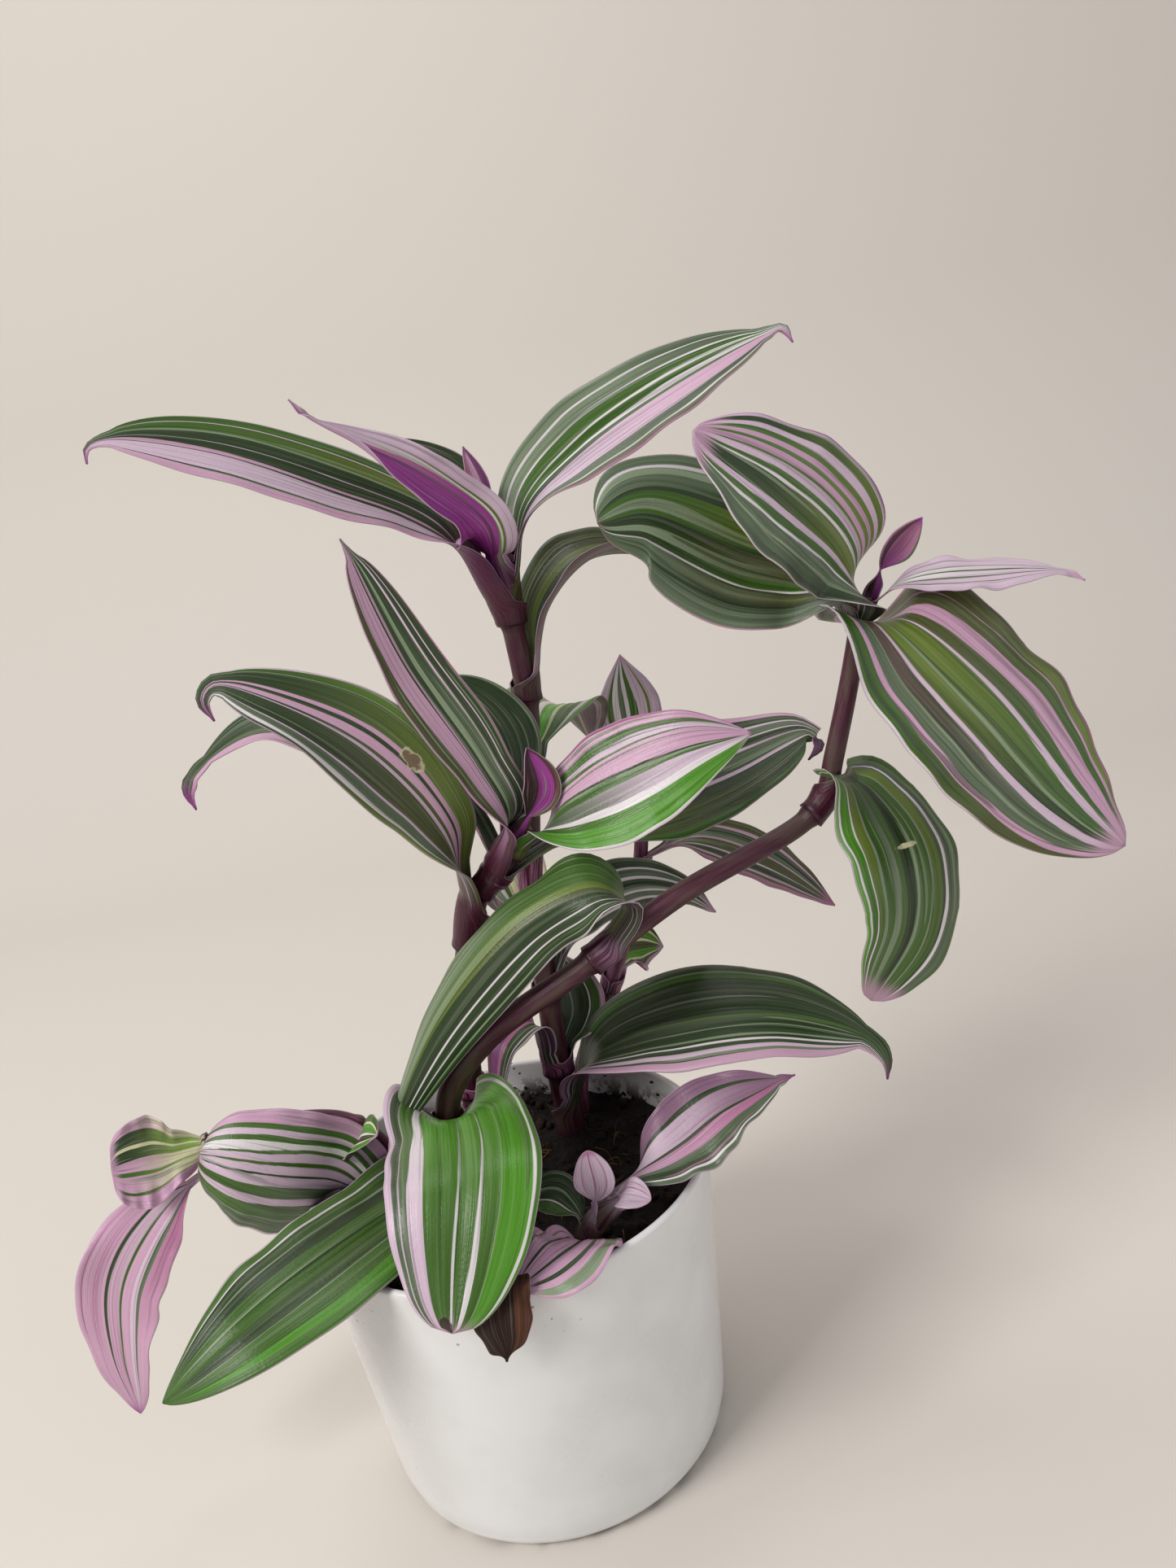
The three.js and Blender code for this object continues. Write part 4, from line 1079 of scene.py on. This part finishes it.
        face=[(0, -0.8, 0.6), (0.2, -0.8, 0.6)],
        stripes="olive 12, cream 6, lime 16, cream 5, olive 14, lime 12, cream 4, olive 10, pink 14"),
    # The front of the cup
    "f": dict(
        on="b", width=28, cup=(-0.5, -0.25), neck=0, peak=0.95, base=0.5, tip=0.42, lobe=9, lift=5,
        fold=0.12,
        rib=[(-10, 0, 78), (-5.5, -19, 84.5), (-4, -36, 83), (-8.6, -50, 64)],
        face=[(0, -0.4, 0.9), (0, -1, 0.1)],
        foot="wine", sliver="green", tip_from=0.97, spots=[(0.62, 0.985, 0.13, 0.03, "umber")],
        stripes="lime 4>3>3, white 2>2.4>2, lime 18, sage 0>0.4>0.8, lime>green 11>11>9, white 0.8>1.3>7,"
                "lime>green 13>12>9, sage>white 1>1.4>3, lime>green 24>22>20, white>lilac 4>9>12,"
                "green>grey 9>6>4, sage>lilac 1, deep>grey 7>4>3, lilac 4>5>4"),
    "g3": dict(
        on="b", width=25, cup=(0.2, -0.3), neck=0, peak=0.9, base=0.45, tip=0.7,
        rib=[(-11, 4, 62), (-20, -13, 65.5), (-32, -30, 68.4), (-46, -42, 66.4), (-61, -46, 57.6)],
        face=[(-0.2, -0.6, 0.8), (-0.5, -0.6, 0.6)],
        foot="green", sliver="deep", tip_tint="green",
        stripes="lime>green 10, lime 10>8>6, green 14, sage 0>1>1, green>deep 13, green 14, sage 0>1>1,"
                "green 10, deep 9, sage 1>2>1, green>deep 12>10>9, white 1>2>1, green 10>9>8, white 1"),
    # The runner on the left
    "g1": dict(
        on="k", width=27, cup=(-0.4, -0.7), neck=0, base=0.5, tip=0.3, wave=0.4,
        rib=[(-30, 4, 63), (-36.8, -3, 68), (-43.5, -8, 73.6), (-51, -10, 79.2), (-58.6, -8, 82.6)],
        face=[(-0.3, -0.85, 0.4), (-0.5, -0.7, 0.5)],
        tip_tint="brown", tip_from=0.985,
        stripes="lilac 3, grey 14>12>6, sage 1, grey>green 12>12>8, lilac 4>7>6, grey>green 10>10>8,"
                "lilac 8, deep 1>2>1, lilac 7>7>5, green 3>3>1, lilac 6, green 3>3>1, white 4>6>10,"
                "green 3>5>6, lilac 3>4>8, green 7>5>5, pink 12"),
    "g2": dict(
        on="g", slot="pink_leaf", width=18, cup=(0.3, 0), neck=0, peak=1.4, base=0.8, tip=0.3, mouth=0.4,
        sheath=1.3, wave=1.3,
        rib=[(-61, 0, 79), (-66, -4, 80.5), (-71, -7, 82), (-76, -9, 82.8)],
        face=[(0, -0.9, 0.4), (0, -0.9, 0.3)],
        foot="cream",
        stripes="pink 14, spring>green 1>2>5, cream>pink 14, spring>green 2>3>7, cream>pink 12,"
                "spring>deep 8>10>17, cream 3>3>4, spring>deep 9>11>16, cream>pink 11"),
    "g5": dict(
        on="g", slot="pink_leaf", width=19, cup=(0.4, 0.2), neck=0.16, base=0.7, tip=0.7, wrap=0.8,
        wave=1.1,
        rib=[(-56, 1, 78), (-69, -6, 70.8), (-80.2, -9, 58), (-83.8, -11, 43), (-84, -12, 28.5)],
        face=[(-0.3, -0.95, 0.1), (-0.2, -0.95, 0)],
        sliver="rose", tip_tint="magenta", tip_from=0.95,
        stripes="rose>pink 26, grey 4>6>0, lilac 6>8>12, pink 12, green 1>3>0, lilac>pink 14, deep 3>4>0,"
                "pink 34"),
    "g4": dict(
        on="k", width=11, cup=(0.3, 0.2),
        rib=[(-33, 4, 69), (-29, -1, 75), (-24, -6, 78)], face=[(0, -0.4, 0.9)],
        foot="moss",
        stripes="green 15, cream 6, lime 20, white 5, deep 18, cream 6, lime 30"),
    # The seedling
    "s1": dict(
        on="s", slot="pink_leaf", width=17, cup=(0.3, 0.2), neck=0.05, wave=1.3,
        rib=[(24, -22, 66), (35.6, -18, 71.8), (45, -16, 76.3), (57.5, -13, 78.2)], tail=[(60, -12, 78)],
        face=[(-0.2, -0.6, 0.75), (-0.3, -0.6, 0.7)],
        foot="taupe", sliver="rose", tip_tint="magenta", tip_from=0.93,
        stripes="mauve 18, deep 4>5>2, lilac>mauve 22, deep 3>4>2, pink>rose 14, grey 6>8>4,"
                "deep>grey 10>8>4, white 2>3>3, grey 8>6>3"),
    "s2": dict(
        on="s", slot="pink_leaf", width=8, cup=(0.5, 0.3), neck=0.22, tip=0.55, wrap=0.5, wave=0.15,
        rib=[(18, -24, 63), (18.2, -26, 70.5), (18, -26, 78.5)], face=[(0, -1, 0.3)],
        foot="taupe", sliver="rose", tip_tint="rose",
        stripes="lilac 20, rose 2, lilac 26, rose 4, lilac 26, rose 2, lilac 20"),
    "s3": dict(
        on="s", slot="pink_leaf", width=7, cup=(0.4, 0.3), tip=0.6, wave=0.15,
        rib=[(22, -23, 65), (23.8, -27, 68.6), (28, -29, 68)], face=[(0, -0.4, 0.9)],
        foot="taupe", sliver="rose",
        stripes="lilac 30, rose 4, lilac 66"),
    "s4": dict(
        on="s", width=9, cup=(0.4, 0.3), wave=0.2,
        rib=[(16, -24, 61), (10, -19, 66), (3, -17, 65)], face=[(0, -0.6, 0.8)],
        foot="taupe",
        stripes="green 30, white 4, deep 20, sage 6, deep 32"),
    "s5": dict(
        on="s", slot="pink_leaf", width=18, cup=(0.3, -0.2), neck=0.1, base=0.6, tip=0.6, wave=1.2,
        rib=[(12, -24, 59), (14, -31, 63.5), (10.5, -38.5, 67), (3, -42.5, 65)],
        face=[(-0.1, -0.4, 0.9), (-0.2, -0.7, 0.7)],
        foot="taupe", sliver="rose",
        stripes="pink 6, sage 14, pink 10, grey>deep 5, pink 14, deep 5, pink 16, deep 4, pink 14,"
                "grey 4, pink 13"),
    "dead": dict(
        on="s", slot="dead_leaf", width=10.5, cup=(0.9, -0.9), neck=0.45, tip=1.1, sheath=0.8, fold=0.4,
        wave=3,
        rib=[(12, -24, 55), (6, -30, 58), (2.5, -38, 65), (0, -43, 66), (-0.5, -46.8, 62),
             (-0.6, -47, 58), (-1.5, -46, 53.3)],
        face=[(0, -0.5, 0.9), (0.3, -0.9, 0.1)],
        foot="umber", under="umber", sliver="umber", tip_tint="umber",
        stripes="umber>brown 30, umber 8, brown>umber 62"),
}
LEAVES = {key: {**PLAIN, **leaf} for key, leaf in LEAVES.items()}
print("leaves", len(LEAVES))

# %% Leaf surface
SLIM_BLADE = 12
SLIM_WRAP = 0.8
CLASP_END = 0.35
OPEN_BY = 0.3
LEAF_ROWS = 72
LEAF_COLUMNS = 32
SHEATH_ROWS = 10
SHEATH_GAP = 0.35
SHEATH_CLOSED = 3.05
SHEATH_TURN = 0.14
SHEATH_UV = 0.25
NEAREST_RING = 1.2
SKIN = 0.5
EDGE_SKIN = 0.2
FINE_TIP = 0.18
CREASE = 0.5
CREASE_HALF = 0.07
RIBS = 11
RIB_RISE = 0.09
FOLD_SOFT = 0.05
HOOK_TURNED = 0.6
LOBE_START = 0.05
LOBE_END = 0.4
BARE_FROM = 0.9
FULL_HALF = 12
WAVE_HALF = 10
EDGE_WAVES = (1.7, 3.1, 5.3)
WAVE_SPREAD = (0.85, 1.15)
HOOK_FACE = (0, -1, 0.1)
FLATTEST = 0.01


def seat_of(leaf):
    """Where the leaf leaves its stem: the share of the stem's length, the place, the stem's
    direction there, the way out towards the leaf and how far out the midrib starts."""
    stem = STEMS[leaf["on"]]
    shares = np.linspace(0, 1, 401)
    places, alongs = stem["line"].at(shares)
    nearest = np.argmin(np.linalg.norm(places - np.array(leaf["rib"][0]), axis=1))
    out = np.array(leaf["rib"][1]) - places[nearest]
    out = unit(out - dot(out, alongs[nearest]) * alongs[nearest])
    reach = blend(*stem["radius"], shares[nearest]) + leaf["mouth"]
    return shares[nearest], places[nearest], alongs[nearest], out, reach


def tail_start(leaf):
    """The share of the whole midrib at which the blade ends and the hooked tail begins."""
    return Line(leaf["rib"]).length / Line([*leaf["rib"], *leaf["tail"]]).length if leaf["tail"] else 1.0


def leaf_frame(leaf):
    """The midrib's line and three directions across: at the foot, on the blade, at the tip.

    The foot's section lies square to the stem. Further out the section lies square to the
    midrib and to the way that the upper face looks.
    """
    _, seat, stem_way, out, reach = seat_of(leaf)
    line = Line([seat + out * reach, *leaf["rib"][1:], *leaf["tail"]])
    foot = np.cross(out, stem_way)
    blade = unit(np.cross(line.at(CLASP_END)[1][0], leaf["face"][0]))
    tip = unit(np.cross(line.at(tail_start(leaf))[1][0], leaf["face"][-1]))
    side = -1 if np.dot(foot, blade) < 0 else 1
    return line, side, foot * side, blade, tip


def hook_across(line, tip):
    """The way across the hooked tail, which turns its face to the front."""
    hook = unit(np.cross(line.at(1.0)[1][0], HOOK_FACE))
    return hook if np.dot(hook, tip) > 0 else -hook


def sheath_length(leaf):
    """The distance from the leaf's seat down to the next ring of its stem, unless it is given."""
    if leaf["sheath"] is not None:
        return leaf["sheath"]
    stem = STEMS[leaf["on"]]
    seat = seat_of(leaf)[0] * stem["line"].length
    rings = [ring * stem["line"].length for ring in stem["rings"]]
    return seat - max([ring for ring in rings if ring < seat - NEAREST_RING], default=seat - NEAREST_RING)


def sheath_sections(leaf, side, wrap):
    """Centre, direction, way across, bend, half width and way of each section below the foot.

    The sheath goes down the stem from the foot to a ring. Its sections are arcs about the
    stem's middle. They close from the clasp's half angle to nearly a whole circle by half
    way down, and towards the ring their radius shrinks to just more than the stem's.
    """
    stem = STEMS[leaf["on"]]
    share, _, _, out, _ = seat_of(leaf)
    low = np.linspace(-1, 0, SHEATH_ROWS)[:-1, None]
    shares = np.maximum(0, share + low[:, 0] * sheath_length(leaf) / stem["line"].length)
    place, along = stem["line"].at(shares)
    out = unit(out - dot(out, along) * along)
    rise = blend(SHEATH_GAP, leaf["mouth"], (1 + low) ** 0.7)
    radius = stem_radius(stem, shares * stem["line"].length)[:, None] + rise
    bend = side * blend(wrap, SHEATH_CLOSED, smoothstep(-low, 0, 0.5))
    across = np.cross(out, along) * side
    return place + out * radius, along, across, bend, radius * np.abs(bend), low * SHEATH_UV


def half_width(leaf, share, clasp):
    """Half the width: the clasp fades out, and a bell with its own blunt or sharp ends grows.

    The bell ends where the tail begins, and the tail is a narrow strip that runs out to a point.
    """
    end = tail_start(leaf)
    along = ((share - leaf["neck"]) / (end - leaf["neck"])).clip(0, 1) ** leaf["peak"]
    bell = np.sin(math.pi * along).clip(0) ** np.where(along < 0.5, leaf["base"], leaf["tip"])
    fade = 1 - smoothstep(share, 0, CLASP_END)
    strip = 0
    if leaf["tail"]:
        strip = leaf["tail_half"] * smoothstep(share, end - 0.1, end) * (1 - share) / (1 - end)
    return np.maximum(np.maximum(FINE_TIP, strip), clasp * fade + leaf["width"] / 2 * bell)


def leaf_relief(leaf, share, place, half, rng):
    """How far the skin stands off the plain section: fold, midrib, ribs and waved edges.

    The fold lifts both halves evenly towards their edges. The midrib is a narrow groove, and
    the ribs are a cosine across the blade. The edges go up and down by three sines along the
    leaf, each side with its own, growing with the cube of the distance from the midrib.
    """
    blade = smoothstep(share, 0.12, OPEN_BY) * (1 - smoothstep(share, BARE_FROM, 1))
    full = (half / FULL_HALF).clip(0, 1)
    groove = -CREASE * np.exp(-((place / CREASE_HALF) ** 2)) * full
    ribs = RIB_RISE * np.cos(math.pi * RIBS * place) * full
    waves = 0
    for count in EDGE_WAVES:
        for edge in (-1, 1):
            phase = rng.uniform(0, 2 * math.pi)
            wave = np.sin(2 * math.pi * count * share * rng.uniform(*WAVE_SPREAD) + phase)
            waves = waves + wave / count ** 0.5 * (place * edge > 0)
    waves = leaf["wave"] * np.abs(place) ** 3 * waves * (half / WAVE_HALF).clip(0, 1)
    fold = leaf["fold"] * half * (np.sqrt(place ** 2 + FOLD_SOFT ** 2) - FOLD_SOFT)
    return blade * (fold + groove + ribs + waves)


def leaf_surface(leaf, rng):
    """Upper and lower skins on one grid, with the place across and the way along it.

    The sections of the sheath and of the blade are joined into one list. Each is an arc with
    its own bend, and the relief is added square to it. Lobes push the edges beside the foot
    back against the midrib's direction, and up.
    """
    line, side, foot, blade, tip = leaf_frame(leaf)
    _, _, stem_way, _, reach = seat_of(leaf)
    wrap = min(SLIM_WRAP, leaf["wrap"]) if leaf["width"] <= SLIM_BLADE else leaf["wrap"]
    share = np.linspace(0, 1, LEAF_ROWS)[:, None]
    centre, ahead = line.at(share[:, 0])
    along = unit(blend(stem_way, ahead, smoothstep(share, 0, SHEATH_TURN)))
    opened = smoothstep(share, 0, OPEN_BY)
    end = tail_start(leaf)
    across = blend(blend(foot, blade, opened), tip, smoothstep(share, CLASP_END, end))
    if leaf["tail"]:
        across = blend(across, hook_across(line, tip), smoothstep(share, end, 1 - (1 - end) * HOOK_TURNED))
    across = unit(across - dot(across, along) * along)
    bend = blend(side * wrap, blend(*leaf["cup"], share), opened)
    bend = np.where(np.abs(bend) < FLATTEST, FLATTEST, bend)
    half = half_width(leaf, share, reach * wrap)
    below = sheath_sections(leaf, side, wrap)
    back = np.vstack([np.tile(ahead[:1], (len(below[0]), 1)), ahead])
    sections = zip(below, (centre, along, across, bend, half, share))
    centre, along, across, bend, half, way = (np.vstack(pair) for pair in sections)
    place = np.linspace(-1, 1, LEAF_COLUMNS + 1)[None, :]
    normal = np.cross(across, along)
    turn = bend * place
    sideways = (half / bend * np.sin(turn))[..., None]
    upward = (half / bend * (1 - np.cos(turn)))[..., None]
    middle = centre[:, None] + sideways * across[:, None] + upward * normal[:, None]
    facing = normal[:, None] * np.cos(turn)[..., None] - across[:, None] * np.sin(turn)[..., None]
    middle = middle + leaf_relief(leaf, way.clip(0, 1), place, half, rng)[..., None] * facing
    lobes = place ** 2 * smoothstep(way, 0, LOBE_START) * (1 - smoothstep(way, LOBE_START, LOBE_END))
    push = leaf["lift"] * np.array([0, 0, 1]) - leaf["lobe"] * back
    middle = middle + lobes[..., None] * push[:, None]
    skin = EDGE_SKIN + (SKIN - EDGE_SKIN) * (1 - place ** 4) * (half / 3).clip(0.3, 1)
    step = skin[..., None] / 2 * facing
    return middle + step, middle - step, way, place


def make_leaf(key, leaf, rng):
    """A closed thin shell: the two skins and a rim of narrow faces between them."""
    upper, lower, way, place = leaf_surface(leaf, rng)
    rows, columns = upper.shape[:2]
    count = rows * columns
    top = grid_faces(rows, columns)
    bottom = grid_faces(rows, columns, start=count)[:, ::-1]
    index = np.arange(count).reshape(rows, columns)
    rim = np.concatenate([index[0, :-1], index[:-1, -1], index[-1, :0:-1], index[:0:-1, 0]])
    ahead = np.roll(rim, -1)
    edge = np.stack([rim, rim + count, ahead + count, ahead], axis=-1)
    uv = np.stack(np.broadcast_arrays((place + 1) / 2, way), axis=-1).reshape(-1, 2)
    return make_piece(
        f"blade_{key}", np.vstack([upper.reshape(-1, 3), lower.reshape(-1, 3)]), [top, bottom, edge],
        uv=np.vstack([uv, uv]), values={"under": np.repeat([0.0, 1.0], count)},
    )


# %% [markdown]
# The stripes run with the veins, so their finish reads the place across the leaf from the
# piece's own UV map. A slow noise along the leaf makes the bands wander, and a fine one
# frays their edges into single fibres. Thin slivers and fine streaks lighten and darken the
# green. The foot, the tip and the lower face take tints of their own.


# %% Leaf finish
WANDER = 0.035
FRAY = 0.010
CRISP = 0.004
FOOT_FADE = 0.14
TIP_FADE = 0.06
MARGIN = (0.488, 0.498)
SLIVERS = (0.70, 0.72)
SPOT_RAGGED = 1.3
SEED_STEP = 7.3
DRY_ROUGHNESS = 0.85


def read_band(words):
    """A band's tints, and its widths at the foot, the middle and the tip."""
    names, widths = words.split()
    widths = [float(width) for width in widths.split(">")]
    return names.split(">"), widths if len(widths) == 3 else widths * 3


def striped(n, place, along, recipe):
    """The bands of a recipe. Each begins where a parabola along the leaf puts its left edge.

    The widths at the foot, the middle and the tip are made shares of the whole, and their
    sums from the left give three places for the edge, which the parabola goes through.
    """
    bands = [read_band(words) for words in recipe.split(",")]
    shares = np.array([widths for _, widths in bands])
    shares = shares / shares.sum(axis=0)
    edges = np.cumsum(shares, axis=0) - shares
    color = None
    for (names, _), (foot, middle, tip) in zip(bands, edges.tolist()):
        tone = n.mix(n.step(along, 0.15, 0.85), *names) if len(names) == 2 else TINTS[names[0]]
        if color is None:
            color = tone
            continue
        slope = n.line(along, 2 * (foot + tip) - 4 * middle, 4 * middle - 3 * foot - tip)
        past = n.less(place, n.line(slope, along, foot))
        color = n.mix(n.step(past, -CRISP, CRISP), color, tone)
    return color


def leaf_finish(key, leaf, number):
    """Stripes, slivers and fibres, a lined sheath, a tinted tip, and a tinted underside."""
    n = Nodes(f"leaf_skin_{key}")
    across, way, _ = n.split(n.add("ShaderNodeUVMap", {"uv_map": "place"}).outputs[0])
    along = n.math("MAXIMUM", way, 0.0)
    seed = SEED_STEP * number

    def streaks(fine, length, start=seed, detail=2.0, run=along):
        """A noise with so many steps across and along the leaf."""
        return n.noise(n.pack(n.times(across, fine), n.times(run, length), start), detail=detail)

    def strayed(value, noise, reach):
        """The value moved up and down by a noise."""
        return n.line(n.less(noise, 0.5), reach, value)

    slow = streaks(5.0, 1.7, detail=1.0)
    fibre = streaks(110.0, 4.0)
    vein = streaks(34.0, 1.3, run=way)
    thin = streaks(30.0, 1.1, start=seed + 3, detail=0.0)
    place = strayed(strayed(across, slow, WANDER * 2), fibre, FRAY * 2)
    color = striped(n, place, along, leaf["stripes"])
    color = n.mix(n.step(thin, *SLIVERS, 0.0, 0.65), color, leaf["sliver"])
    color = n.mix(n.step(vein, 0.5, 0.75, 0.0, 0.10), color, "pale_vein")
    color = n.mix(n.step(vein, 0.5, 0.25, 0.0, 0.5), color, "dark_vein", "MULTIPLY")
    color = n.mix(n.step(fibre, 0.35, 0.65, 0.0, 0.02), color, "light")
    lined = n.mix(n.step(vein, 0.4, 0.6), "plum", leaf["foot"])
    lined = n.mix(n.step(way, -0.12, -SHEATH_UV), lined, "plum")
    foot = n.step(strayed(way, fibre, 0.1), leaf["foot_to"], leaf["foot_to"] - FOOT_FADE)
    color = n.mix(foot, color, lined)
    tip = (leaf["tip_from"], min(leaf["tip_from"] + TIP_FADE, 1.0))
    color = n.mix(n.step(strayed(along, fibre, 0.2), *tip, 0.0, 0.8), color, leaf["tip_tint"])
    edge = n.math("ABSOLUTE", n.less(across, 0.5))
    color = n.mix(n.step(edge, *MARGIN, 0.0, 0.6), color, "lilac")
    blotch = n.noise(n.spot(), scale=600.0, detail=2.0) if leaf["spots"] else None
    for u, v, wide, long, tone in leaf["spots"]:
        off = n.pack(n.math("DIVIDE", n.less(across, u), wide), n.math("DIVIDE", n.less(way, v), long))
        away = n.add("ShaderNodeVectorMath", {"operation": "LENGTH"}, i0=off).outputs["Value"]
        color = n.mix(n.step(strayed(away, blotch, SPOT_RAGGED), 1.0, 0.7, 0.0, 0.85), color, tone)
    under = n.times(n.stored("under"), n.step(way, -0.02, 0.2))
    color = n.mix(n.times(under, leaf["veil"]), color, leaf["under"])
    cells = n.noise(n.spot(), scale=1500.0, detail=1.0)
    n.bump(n.line(cells, 0.35, n.line(fibre, 0.3, vein)), 0.0004, 0.45)
    if leaf["slot"] == "dead_leaf":
        return n.finish(color, DRY_ROUGHNESS, Specular_IOR_Level=0.2)
    rough = n.math("ADD", n.step(vein, 0.3, 0.7, 0.3, 0.4), n.times(under, 0.12))
    return n.finish(color, rough, Specular_IOR_Level=0.38)


for number, (key, leaf) in enumerate(LEAVES.items()):
    piece = make_leaf(key, leaf, np.random.default_rng([SEED, 100 + number]))
    piece.data.materials.append(leaf_finish(key, leaf, number))
    stands_for(piece, f"leaf_{key}")
print("leaf faces each", len(piece.data.polygons))

# %% [markdown]
# ## End
#

# %% End
bpy.context.view_layer.update()
